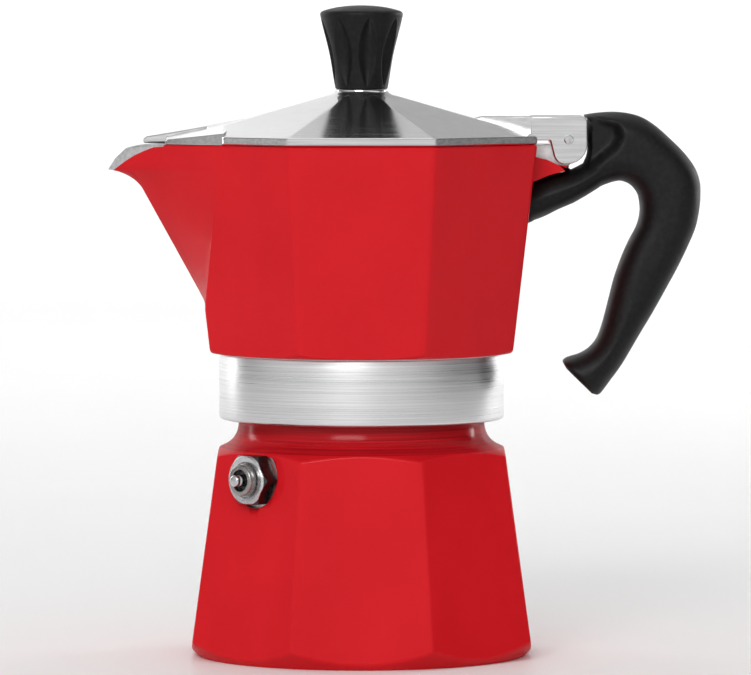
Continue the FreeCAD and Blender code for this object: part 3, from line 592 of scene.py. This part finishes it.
chamber_rows[starts[3]:starts[4] - 1] = RED
away_from_lip = outer_rim[:, 0] > LIP_START_X
chamber_rows[starts[4] - 1:starts[6] - 2, away_from_lip] = RED
chamber_skin = skin("chamber_casting", np.concatenate(chamber_parts), [enamel, cast, turned],
                    chamber_rows, start=(0, 0, 112.0), end=(0, 0, 118.0))
finish_piece(chamber_skin, "jug", "red_enamel_and_cast", "upper_chamber")

# %% [markdown]
# ## Upright plates
# The lug, the hinge knuckle, the lid's boss and its ears are flat plates with shaped outlines. Such a
# plate is an outline carried along Y. The outline is a list of corners, some of them rounded: a round
# corner is the arc that touches both of its sides, and a live bevel softens the plate's edges.

# %% Plate helpers
def rounded_outline(corners, steps=7):
    """An outline of (x, z) or (x, z, radius) corners, given clockwise as seen from the front."""
    points = []
    for index, corner in enumerate(corners):
        here = np.asarray(corner[:2], dtype=float)
        if len(corner) == 2:
            points.append(here)
            continue
        before = np.asarray(corners[index - 1][:2], dtype=float) - here
        after = np.asarray(corners[(index + 1) % len(corners)][:2], dtype=float) - here
        before, after = before / np.linalg.norm(before), after / np.linalg.norm(after)
        half = 0.5 * math.acos(np.clip(np.dot(before, after), -1.0, 1.0))
        middle = before + after
        centre = here + middle / np.linalg.norm(middle) * corner[2] / math.sin(half)
        first = here + before * corner[2] / math.tan(half) - centre
        last = here + after * corner[2] / math.tan(half) - centre
        sweep_angle = math.atan2(first[0] * last[1] - first[1] * last[0], np.dot(first, last))
        turns = np.linspace(0.0, sweep_angle, steps)[:, None]
        across_first = np.array([-first[1], first[0]])
        points += list(centre + first * np.cos(turns) + across_first * np.sin(turns))
    return np.asarray(points)


def plate(name, corners, near, far, material, bevel=0.35, taper=None):
    """A plate with an outline in X and Z between two places in Y, its thickness scaled along X by
    the taper, a pair of lists of places and scales."""
    outline = rounded_outline(corners)
    area = np.sum(outline[:, 0] * np.roll(outline[:, 1], -1) - outline[:, 1] * np.roll(outline[:, 0], -1))
    if area < 0.0:
        outline = outline[::-1]
    grid = np.stack([np.insert(outline, 1, y, axis=1) for y in (far, near)])
    if taper:
        grid[..., 1] *= np.interp(grid[..., 0], *taper)
    piece = skin(name, grid, [material], crease=30.0)
    return soften(piece, bevel)


# %% Lug, knuckle and hinge pin
HINGE = (53.6, 134.3)
KNUCKLE_RADIUS = 4.7
PIN_END = 10.25
lug = plate("cast_lug", [(42.6, 121.7), (44.35, 123.35, 1.0), (48.7, 125.15, 4.0), (54.1, 126.65),
                         (56.2, 127.3, 0.6), (53.6, 127.4), (50.8, 127.75, 2.0), (48.2, 129.0, 2.0),
                         (43.3, 130.2)], -9.0, 9.0, enamel, 0.5)
finish_piece(lug, "jug", "red_enamel_and_cast", "upper_chamber")
knuckle_round = [(HINGE[0] + KNUCKLE_RADIUS * math.cos(turn), HINGE[1] + KNUCKLE_RADIUS * math.sin(turn))
                 for turn in np.linspace(math.radians(-50.0), math.radians(195.0), 26)]
knuckle = plate("hinge_knuckle", [(42.9, 124.0), (48.7, 125.6), (53.0, 126.9), (54.4, 128.2)]
                + knuckle_round + [(43.5, 133.0)], -6.3, 6.3, cast, 0.3)
finish_piece(knuckle, "jug", "red_enamel_and_cast", "upper_chamber")

pin_angle = np.linspace(0.0, 2.0 * math.pi, 48, endpoint=False)
pin_profile = np.array([(1.0, -PIN_END), (1.25, -10.1), (1.3, -9.9), (1.3, 9.9), (1.25, 10.1),
                        (1.0, PIN_END)])
pin_rings = np.stack([HINGE[0] + pin_profile[:, :1] * np.sin(pin_angle),
                      pin_profile[:, 1:] + 0.0 * pin_angle,
                      HINGE[1] + pin_profile[:, :1] * np.cos(pin_angle)], axis=-1)
hinge_pin = skin("pin", pin_rings, [steel], start=(HINGE[0], -PIN_END, HINGE[1]),
                 end=(HINGE[0], PIN_END, HINGE[1]), crease=20.0)
finish_piece(hinge_pin, "jug", "steel", "hinge_pin")

# %% [markdown]
# ## Lid
# The lid is an eight-sided roof with an upright edge, hollow below, with a round seat for the knob.
# Over the spout the roof is cut off square, and a low gable takes its place: its sides stand over the
# spout's, its edges sit a little higher than the roof, and its ridge runs back into the slope. A tongue
# reaches on towards the tip. A boss and two ears hold the lid on the hinge pin.

# %% Lid roof
LID_FOOT = 133.25
LID_EDGE = 135.15
RIM_FLAT = 45.2


def roof(flat_from, flat_to, height_from, height_to, count):
    """Rings of a straight octagonal slope between two sizes and heights."""
    flats = spaced(flat_from, flat_to, count)[:, None]
    heights = spaced(height_from, height_to, count)[:, None]
    return rings(polygon_radius(column, flats, blend=0.35), heights, column)


under = [roof(8.0, 42.3, 143.9, 134.3, 14), roof(42.4, 42.4, 134.0, LID_FOOT, 3)]
over = [roof(RIM_FLAT - 0.45, RIM_FLAT, LID_FOOT, LID_FOOT + 0.4, 2),
        roof(RIM_FLAT, RIM_FLAT, LID_FOOT + 0.6, LID_EDGE, 4),
        roof(RIM_FLAT - 0.12, RIM_FLAT - 0.35, LID_EDGE + 0.17, LID_EDGE + 0.28, 2),
        roof(RIM_FLAT - 0.8, 9.2, LID_EDGE + 0.41, 145.56, 26)]
neck_curve = bezier((8.9, 145.75), (7.6, 146.2), (6.9, 146.5), (6.9, 147.0), 7)
seat = np.concatenate([neck_curve, [(6.7, 147.1), (2.2, 147.1)]])
lid_parts = under + over + [turned_rows(seat)]
lid_roof = skin("lid_roof", np.concatenate(lid_parts), [polished], start=(0, 0, 143.9),
                end=(0, 0, 147.1), crease=24.0)
finish_piece(lid_roof, "lid_and_knob", "polished_aluminium", "lid")


# %% Spout cover and tongue
def gable(middle_x, edge_x, half, ridge_height, edge_height, lean):
    """One section of the spout cover: flat below, sides that lean in, and a low ridge. The section
    stands at middle_x on the ridge and at edge_x on both edges, both counted forwards."""
    share = np.array([-1.0, -1.0, -0.5, 0.0, 0.5, 1.0, 1.0])
    y = share * (half - lean)
    y[[0, -1]] = -half, half
    x = -(middle_x + (edge_x - middle_x) * np.abs(share))
    z = edge_height + (ridge_height - edge_height) * (1.0 - np.abs(share))
    z[[0, -1]] = LID_FOOT
    return np.stack([x, y, z], axis=-1)


ROOF_FRONT = -35.6
front_cut = np.array([(-60.0, -50.0), (ROOF_FRONT, -50.0), (ROOF_FRONT, 50.0), (-60.0, 50.0)])
front_block = np.stack([np.insert(front_cut, 2, z, axis=1) for z in (130.0, 150.0)])
bore_out(lid_roof, skin("front_block", front_block, [polished]))
sections = [(51.1, 50.5, 13.2, 135.3, 134.2, 0.2), (50.7, 50.1, 13.8, 135.7, 134.5, 0.3),
            (42.0, 43.8, 20.1, 137.45, 135.2, 0.7), (30.6, 35.3, 28.1, 139.65, 136.25, 1.1),
            (29.6, 35.0, 27.6, 139.0, 134.6, 1.0)]
cover_rings = np.stack([gable(*section) for section in sections[::-1]])
spout_cover = soften(skin("spout_cover", cover_rings, [polished], crease=15.0), 0.12)
finish_piece(spout_cover, "lid_and_knob", "polished_aluminium", "lid")
tongue = plate("spout_tongue", [(-56.6, LID_FOOT + 0.1, 0.5), (-40.0, LID_FOOT + 0.1), (-40.0, 137.8),
                                (-48.4, 136.3), (-55.7, 135.1, 1.0), (-56.6, 134.4, 0.7)],
               -5.0, 5.0, polished, 0.4)
finish_piece(tongue, "lid_and_knob", "polished_aluminium", "lid")

# %% Hinge boss and ears
BOSS_TOP = 140.4
EAR_INNER, EAR_OUTER = 6.6, 10.0
boss = plate("hinge_boss", [(24.0, LID_FOOT), (44.2, LID_FOOT), (44.2, BOSS_TOP), (31.2, BOSS_TOP, 2.0),
                            (24.0, 138.6)], -EAR_OUTER, EAR_OUTER, polished, 0.35,
             ([24.0, 44.2], [0.55, 1.0]))
finish_piece(boss, "lid_and_knob", "polished_aluminium", "lid")
ear_outline = [(43.6, 135.2, 0.4), (43.6, BOSS_TOP), (58.4, BOSS_TOP, 1.4), (58.4, 128.0, 5.2),
               (50.2, 128.0, 2.8), (48.7, 134.1, 0.4), (45.4, 134.1, 0.5)]
for ear_name, near, far in (("near_ear", -EAR_OUTER, -EAR_INNER), ("far_ear", EAR_INNER, EAR_OUTER)):
    ear = plate(ear_name, ear_outline, near, far, polished, 0.45)
    finish_piece(ear, "lid_and_knob", "polished_aluminium", "lid")

# %% [markdown]
# ## Knob
# The knob is turned in shape, wider at its top, with eight leaf-shaped hollows. A hollow is a depth
# taken from the radius: deepest on its middle line, nothing at a leaf outline that is pointed at both
# ends, so its edge stays crisp.

# %% Knob
KNOB_FOOT = 147.2
KNOB_TURN = math.radians(-90.0 + 11.5)
KNOB_TOP = 169.0
LEAF_LOW, LEAF_HIGH = 148.1, 165.6
LEAF_HALF_WIDTH = 2.45
LEAF_DEPTH = 1.55
knob_side = (np.array([147.5, 148.5, 150.5, 154.7, 158.9, 163.0, 165.1, 166.4]),
             np.array([6.80, 7.00, 7.30, 8.06, 8.90, 9.95, 10.48, 10.72]))


def smooth_side(height):
    """The knob's side: the quartic that lies closest to its listed radii."""
    return np.polyval(np.polyfit(*knob_side, 4), height)


def knob_radius(angle, height):
    """The knob's side less its eight hollows."""
    rise_share = np.clip((height - LEAF_LOW) / (LEAF_HIGH - LEAF_LOW), 0.0, 1.0)
    leaf = np.sin(np.pi * rise_share ** 1.12) ** 0.62
    radius = smooth_side(height)
    off = (angle - KNOB_TURN + math.pi / 8.0) % (math.pi / 4.0) - math.pi / 8.0
    half_width = LEAF_HALF_WIDTH * leaf + 1e-6
    share = np.clip(np.abs(off) * radius / half_width, 0.0, 1.0)
    return radius - LEAF_DEPTH * leaf * (1.0 - share ** 2)


knob_angle = np.linspace(0.0, 2.0 * math.pi, 336, endpoint=False)[None, :]
knob_heights = spaced(147.6, 166.2, 84, crowd=0.4)[:, None]
knob_foot = profile((2.0, KNOB_FOOT), (6.5, KNOB_FOOT), (6.8, 147.5), edge=0.12)
crown = profile((10.72, 166.35), (10.8, 166.75), (10.55, 167.3), (9.6, 167.75), (7.0, 168.4),
                (3.6, 168.88), (0.8, KNOB_TOP), edge=0.6)
knob_grid = np.concatenate([turned_rows(knob_foot, knob_angle),
                            rings(knob_radius(knob_angle, knob_heights), knob_heights, knob_angle),
                            turned_rows(crown, knob_angle)])
knob = skin("fluted_knob", knob_grid, [thermoset], start=(0, 0, KNOB_FOOT), end=(0, 0, KNOB_TOP),
            crease=50.0)
finish_piece(knob, "lid_and_knob", "black_thermoset", "knob")

# %% [markdown]
# ## Handle
# The handle is moulded with full, rounded edges. Its outline is two rails, one along its outer side
# and one along its inner side, and each ring of the piece runs from one rail to the other in front and
# back again behind. How far a point stands out in Y grows with its distance from the outline almost as
# a quarter circle does, which rounds the edges evenly. Near the hinge both cheeks are hollowed for the
# lid's ears, and a stepped hole from below takes the screw.

# %% Handle functions
def spline(points, count):
    """Evenly spaced points on a smooth curve through points (Catmull-Rom, by arc length)."""
    points = np.asarray(points, dtype=float)
    padded = np.vstack([2 * points[0] - points[1], points, 2 * points[-1] - points[-2]])
    t = np.linspace(0.0, 1.0, 24, endpoint=False)[None, :, None]
    a, b, c, d = (padded[k:len(padded) - 3 + k][:, None, :] for k in range(4))
    curve = 0.5 * (2 * b + (c - a) * t + (2 * a - 5 * b + 4 * c - d) * t ** 2
                   + (3 * b - a - 3 * c + d) * t ** 3)
    curve = np.vstack([curve.reshape(-1, 2), points[-1:]])
    length = np.concatenate([[0.0], np.cumsum(np.linalg.norm(np.diff(curve, axis=0), axis=1))])
    wanted = np.linspace(0.0, length[-1], count)
    return np.stack([np.interp(wanted, length, curve[:, axis]) for axis in range(2)], axis=-1)


def distance_to(points, line):
    """Shortest distance from each point to a line of short segments."""
    start, end = line[:-1], line[1:]
    run = end - start
    rel = points[..., None, :] - start
    share = np.clip(np.sum(rel * run, axis=-1) / np.maximum(np.sum(run * run, axis=-1), 1e-9), 0.0, 1.0)
    return np.linalg.norm(rel - share[..., None] * run, axis=-1).min(axis=-1)


def is_inside(points, loop):
    """Whether each point lies within a closed loop, by counting crossings to its right."""
    x, z = points[..., 0, None], points[..., 1, None]
    ahead = np.roll(loop, -1, axis=0)
    crosses = (loop[:, 1] > z) != (ahead[:, 1] > z)
    height = np.where(ahead[:, 1] == loop[:, 1], 1.0, ahead[:, 1] - loop[:, 1])
    at = loop[:, 0] + (z - loop[:, 1]) * (ahead[:, 0] - loop[:, 0]) / height
    return (np.sum(crosses & (x < at), axis=-1) % 2) == 1


# %% Handle
HALF_WIDTH = 9.5
EDGE_ROUND = 6.5
END_ROUND = 1.9
ROUNDNESS = 2.4
CHEEK_HALF_WIDTH = 6.1
SCREW_X = 52.0
outer_pieces = [
    ([(42.3, 121.0), (44.3, 123.15), (49.9, 125.2), (54.1, 126.3), (57.6, 128.0)], 30),
    ([(57.6, 128.0), (58.62, 131.0), (58.62, 137.0), (57.8, 140.6)], 24),
    ([(57.7, 140.6), (60.7, 141.1), (65.3, 141.4), (69.4, 141.0), (73.0, 139.9), (76.6, 137.6),
      (80.2, 134.4), (83.8, 130.8), (86.6, 127.0), (87.9, 123.5), (88.15, 120.4), (87.9, 116.5),
      (86.9, 111.4), (84.8, 106.3), (82.3, 101.1), (79.7, 96.3), (76.1, 89.8), (72.0, 82.9),
      (67.9, 75.9), (64.8, 71.6), (62.2, 68.1), (60.6, 66.6)], 150)]
inner_pieces = [
    ([(42.3, 112.4), (46.3, 113.7), (49.9, 115.3), (54.0, 117.1), (58.1, 119.4), (61.0, 121.2)], 30),
    ([(61.0, 121.2), (62.6, 122.2), (64.8, 123.0), (66.0, 123.3)], 24),
    ([(66.0, 123.3), (67.4, 123.4), (69.4, 122.7), (71.0, 121.2), (72.0, 119.1), (72.3, 115.5),
      (71.5, 111.9), (69.4, 107.8), (67.4, 103.2), (65.6, 98.0), (64.3, 92.9), (62.7, 86.7),
      (61.2, 82.6), (59.2, 80.1), (56.6, 78.5), (53.3, 77.4), (51.5, 75.9)], 150)]
outer_rail = np.concatenate([spline(points, count)[:-1] for points, count in outer_pieces])
inner_rail = np.concatenate([spline(points, count)[:-1] for points, count in inner_pieces])
cheek = rounded_outline([(50.0, 126.6), (57.1, 127.1, 3.0), (61.0, 128.0, 5.0), (65.8, 131.5, 6.0),
                         (67.8, 135.0, 3.0), (66.6, 138.6, 2.0), (62.6, 139.6, 2.0), (61.6, 146.0),
                         (50.0, 146.0)])
around = np.linspace(0.0, 2.0 * math.pi, 88, endpoint=False)
share = 0.5 - 0.5 * np.cos(around)
flat_grid = outer_rail[:, None, :] + (inner_rail - outer_rail)[:, None, :] * share[None, :, None]
foot_middle = 0.5 * (outer_rail[-1] + inner_rail[-1])
from_end = np.linalg.norm(0.5 * (outer_rail + inner_rail) - foot_middle, axis=1)
end_share = np.clip(from_end / END_ROUND, 0.0, 1.0)
end_inset = END_ROUND * (1.0 - np.sqrt(1.0 - (1.0 - end_share) ** 2))
side_way = outer_rail - inner_rail
width_here = np.linalg.norm(side_way, axis=1)
squeeze = 1.0 - 2.0 * end_inset / width_here
ring_middle = 0.5 * (outer_rail + inner_rail)[:, None, :]
flat_grid = ring_middle + (flat_grid - ring_middle) * squeeze[:, None, None]
depth_in = np.minimum(distance_to(flat_grid, outer_rail[4:]), distance_to(flat_grid, inner_rail[4:]))
rounding = np.clip(depth_in / EDGE_ROUND, 0.0, 1.0)
half_width = HALF_WIDTH * (1.0 - (1.0 - rounding) ** ROUNDNESS) ** (1.0 / ROUNDNESS)
cheek_depth = distance_to(flat_grid, np.vstack([cheek, cheek[:1]]))
signed = np.where(is_inside(flat_grid, cheek), cheek_depth, -cheek_depth)
hollow = np.clip((signed + 0.8) / 3.0, 0.0, 1.0)
hollow = hollow * hollow * (3.0 - 2.0 * hollow)
half_width = half_width - np.maximum(half_width - CHEEK_HALF_WIDTH, 0.0) * hollow
half_width = half_width * (1.0 - end_inset / HALF_WIDTH)[:, None]
handle_grid = np.stack([flat_grid[..., 0], -np.sin(around) / np.maximum(np.abs(np.sin(around)), 1e-9)
                        * half_width, flat_grid[..., 1]], axis=-1)
handle = skin("moulded_handle", handle_grid, [thermoset], crease=40.0)
screw_way = rings(np.array([[2.0], [3.8], [3.8], [2.15], [2.15], [1.0]]),
                  np.array([[108.0], [108.0], [120.0], [120.0], [130.0], [130.0]]), bore_angle)
screw_way[..., 0] += SCREW_X
bore_out(handle, skin("screw_way", screw_way, [thermoset], start=(SCREW_X, 0, 108.0),
                      end=(SCREW_X, 0, 130.0)))
finish_piece(handle, "jug", "black_thermoset", "handle")

# %% [markdown]
# ## Safety valve
# The hexagon is the polygon function again with six sides, cut by the cone that a lathe leaves on a
# nut. The collar and the pin are plain turned shapes. Near-black metal stands in for light: painted shade
# in the collar's inner groove and hole, and a painted dark reflection on the shank and the hexagon's sides.

# %% Safety valve
HEX_LOW, HEX_HIGH = 37.7, 42.2
HEX_FLAT = 6.2
PAINTED_SHADE_ROW = 11
hex_angle = np.linspace(0.0, 2.0 * math.pi, 180, endpoint=False)[None, :]
hex_heights = spaced(HEX_LOW, HEX_HIGH, 22, crowd=0.5)[:, None]
nut_cone = 6.0 + (HEX_HIGH - hex_heights) * 0.95
hex_flats = polygon_radius(hex_angle + math.pi / 6.0, HEX_FLAT, sides=6, blend=0.2)
hex_radius = soft_min(hex_flats, nut_cone, 0.12)
shank = profile((1.3, 30.6), (3.9, 30.6), (3.9, HEX_LOW), (5.6, HEX_LOW), edge=0.2)
face = profile((6.0, HEX_HIGH), (4.7, HEX_HIGH), (4.4, 41.9), (3.0, 41.9), (2.8, 41.5), (2.8, 33.0),
               (1.3, 33.0), edge=0.15)
hex_parts = [turned_rows(shank, hex_angle), rings(hex_radius, hex_heights, hex_angle),
             turned_rows(face, hex_angle)]
# Rows up to the hexagon's top edge get the near-black metal as a painted dark reflection; the top edge and
# the face are steel.
hex_rows = np.zeros(sum(len(part) for part in hex_parts) - 1, int)
hex_rows[len(shank) + len(hex_heights) - 4:] = 1
valve_hex = skin("valve_hexagon", on_valve_axis(np.concatenate(hex_parts)), [nickel_painted_shade, steel], hex_rows,
                 start=valve_end(30.6), end=valve_end(33.0), crease=26.0)
finish_piece(valve_hex, "base", "nickel_brass", "valve_body")

collar = profile((1.65, 41.0), (2.75, 41.0), (2.75, 41.95), (4.0, 42.0), (4.0, 43.9), (3.7, 44.2),
                 (2.8, 44.2), (2.75, 42.8), (1.65, 42.8), edge=0.12)
ring_closed = np.vstack([collar, collar[:1]])
collar_grid = on_valve_axis(turned_rows(ring_closed, hex_angle))
columns = collar_grid.shape[1]
collar_faces = grid_quads(len(ring_closed), columns) % ((len(ring_closed) - 1) * columns)
# The last four rows, the groove's inner wall, the recess and the bore, are near black as painted shade.
collar_shade_mask = np.repeat(np.arange(len(ring_closed) - 1) > PAINTED_SHADE_ROW, columns)
valve_collar = build("valve_collar", collar_grid[:-1].reshape(-1, 3), collar_faces.tolist(),
                     [nickel, nickel_painted_shade], collar_shade_mask, crease=26.0)
finish_piece(valve_collar, "base", "nickel_brass", "valve_cap")

stem = profile((0.5, 33.9), (2.5, 33.9), (2.5, 35.3), (1.5, 35.3), (1.5, 44.6), (1.25, 44.9),
               (1.25, 45.3), (1.5, 45.6), (1.5, 46.1), (1.1, 46.45), (0.4, 46.5), edge=0.12)
valve_pin = skin("valve_pin", on_valve_axis(turned_rows(stem, hex_angle)), [steel],
                 start=valve_end(33.9), end=valve_end(46.5), crease=22.0)
finish_piece(valve_pin, "valve_plunger", "steel", "valve_piston")

# %% [markdown]
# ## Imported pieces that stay
# The funnel, the plates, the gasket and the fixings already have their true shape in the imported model.
# They show when the pot is unscrewed or the lid is open, and here they only get their finish.

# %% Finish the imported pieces
kept = {"funnel": spun, "funnel_filter": spun, "filter_plate": spun, "gasket": gasket_rubber,
        "knob_insert": brass, "knob_screw": steel, "knob_washer": steel, "handle_screw": steel,
        "valve_washer": fibre, "valve_seal": rubber, "valve_spring": steel}
for node, material in kept.items():
    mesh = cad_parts[node].data
    mesh.materials.clear()
    mesh.materials.append(material)
print("packed pieces finished:", len(kept))

# %% [markdown]
# ## Stage, light and camera
# A pale floor that curves up into a pale wall gives a plain background with a soft shadow. A large
# light in front and one over the top shape the pot, and four small ones only brighten the floor and the
# wall. A sky that darkens towards the back and a grey card above right give the metal something to
# reflect. The camera is far away with a long lens, level with the knob and looking slightly down.

# %% Floor and backdrop
paper = new_material("pale_paper", Specular_IOR_Level=0.2)
tint(paper, noise(paper, (3.0, 3.0, 3.0)), (0.90, 0.90, 0.90), (0.91, 0.91, 0.91))
between(paper, noise(paper, (8.0, 8.0, 8.0)), 0.45, 0.55, "Roughness")
bend = np.linspace(0.0, 0.5 * math.pi, 24)
run_y = np.concatenate([[-3000.0], 1800.0 + 700.0 * np.sin(bend), [2500.0]])
run_z = np.concatenate([[0.0], 700.0 - 700.0 * np.cos(bend), [3200.0]])
widths = np.array([-4000.0, 4000.0])
sheet = np.stack([np.broadcast_to(widths[None, :], (len(run_y), 2)),
                  np.broadcast_to(run_y[:, None], (len(run_y), 2)),
                  np.broadcast_to(run_z[:, None], (len(run_y), 2))], axis=-1)
base_row = np.arange(len(run_y) - 1) * 2
sheet_faces = np.stack([base_row, base_row + 1, base_row + 3, base_row + 2], axis=-1)
backdrop = build("backdrop", sheet.reshape(-1, 3), sheet_faces.tolist(), [paper])

card = new_material("grey_card", Specular_IOR_Level=0.1)
tint(card, noise(card, (3.0, 3.0, 3.0)), (0.33, 0.33, 0.33), (0.37, 0.37, 0.37))
card_corners = np.array([(120.0, 2200.0, 750.0), (1500.0, 2200.0, 750.0), (1500.0, 2200.0, 2400.0),
                         (120.0, 2200.0, 2400.0)])
flag = build("grey_flag", card_corners, [[0, 1, 2, 3]], [card])


# %% Lights
def area_light(name, place, target, width, height, power):
    """A rectangular light at a place, aimed at a target. Sizes are in metres and power in watts."""
    lamp = bpy.data.lights.new(name, "AREA")
    lamp.shape = "RECTANGLE"
    lamp.size = width
    lamp.size_y = height
    lamp.energy = power
    light = bpy.data.objects.new(name, lamp)
    bpy.context.scene.collection.objects.link(light)
    light.location = place
    aim = Vector(target) - Vector(place)
    light.rotation_euler = aim.to_track_quat("-Z", "Y").to_euler()
    return light


pot_middle = (0.0, 0.0, 0.08)
area_light("key_softbox", (-0.40, -1.80, 1.05), pot_middle, 1.0, 0.7, 17.0)
area_light("top_softbox", (0.25, 0.55, 1.5), (0.1, 0.35, 0.0), 1.8, 1.0, 5.0)
area_light("floor_left", (-1.6, 1.2, 0.8), (0.0, 1.4, 0.0), 0.5, 0.5, 4.0)
area_light("floor_right", (1.6, 1.2, 0.8), (0.0, 1.4, 0.0), 0.5, 0.5, 4.0)
area_light("backdrop_left", (-1.6, 1.2, 0.4), (0.0, 2.5, 0.3), 0.8, 0.8, 10.0)
area_light("backdrop_right", (1.6, 1.2, 0.4), (0.1, 2.5, 0.1), 0.6, 0.6, 22.0)
world = bpy.data.worlds.new("studio")
world.use_nodes = True
sky_nodes, sky_links = world.node_tree.nodes, world.node_tree.links
direction = sky_nodes.new("ShaderNodeTexCoord")
along = sky_nodes.new("ShaderNodeVectorMath")
along.operation = "DOT_PRODUCT"
along.inputs[1].default_value = (0.30, 0.95, 0.0)
fade = sky_nodes.new("ShaderNodeMapRange")
fade.interpolation_type = "SMOOTHERSTEP"
for socket, value in (("From Min", -1.0), ("From Max", 0.5), ("To Min", 0.80), ("To Max", 0.14)):
    fade.inputs[socket].default_value = value
sky_links.new(direction.outputs["Generated"], along.inputs[0])
sky_links.new(along.outputs["Value"], fade.inputs["Value"])
sky_links.new(fade.outputs["Result"], sky_nodes["Background"].inputs["Strength"])
sky_nodes["Background"].inputs["Color"].default_value = (1.0, 1.0, 1.0, 1.0)
bpy.context.scene.world = world
bpy.context.scene.view_settings.view_transform = "Standard"
bpy.context.scene.view_settings.look = "None"

# %% Camera
lens = bpy.data.cameras.new("camera")
lens.lens = 300.5
lens.sensor_width = 36.0
lens.clip_end = 20.0
camera = bpy.data.objects.new("camera", lens)
bpy.context.scene.collection.objects.link(camera)
camera.location = (0.0, -1.630, 0.170)
look = Vector((0.00364, 0.0, 0.0826)) - camera.location
camera.rotation_euler = look.to_track_quat("-Z", "Y").to_euler()
bpy.context.scene.camera = camera
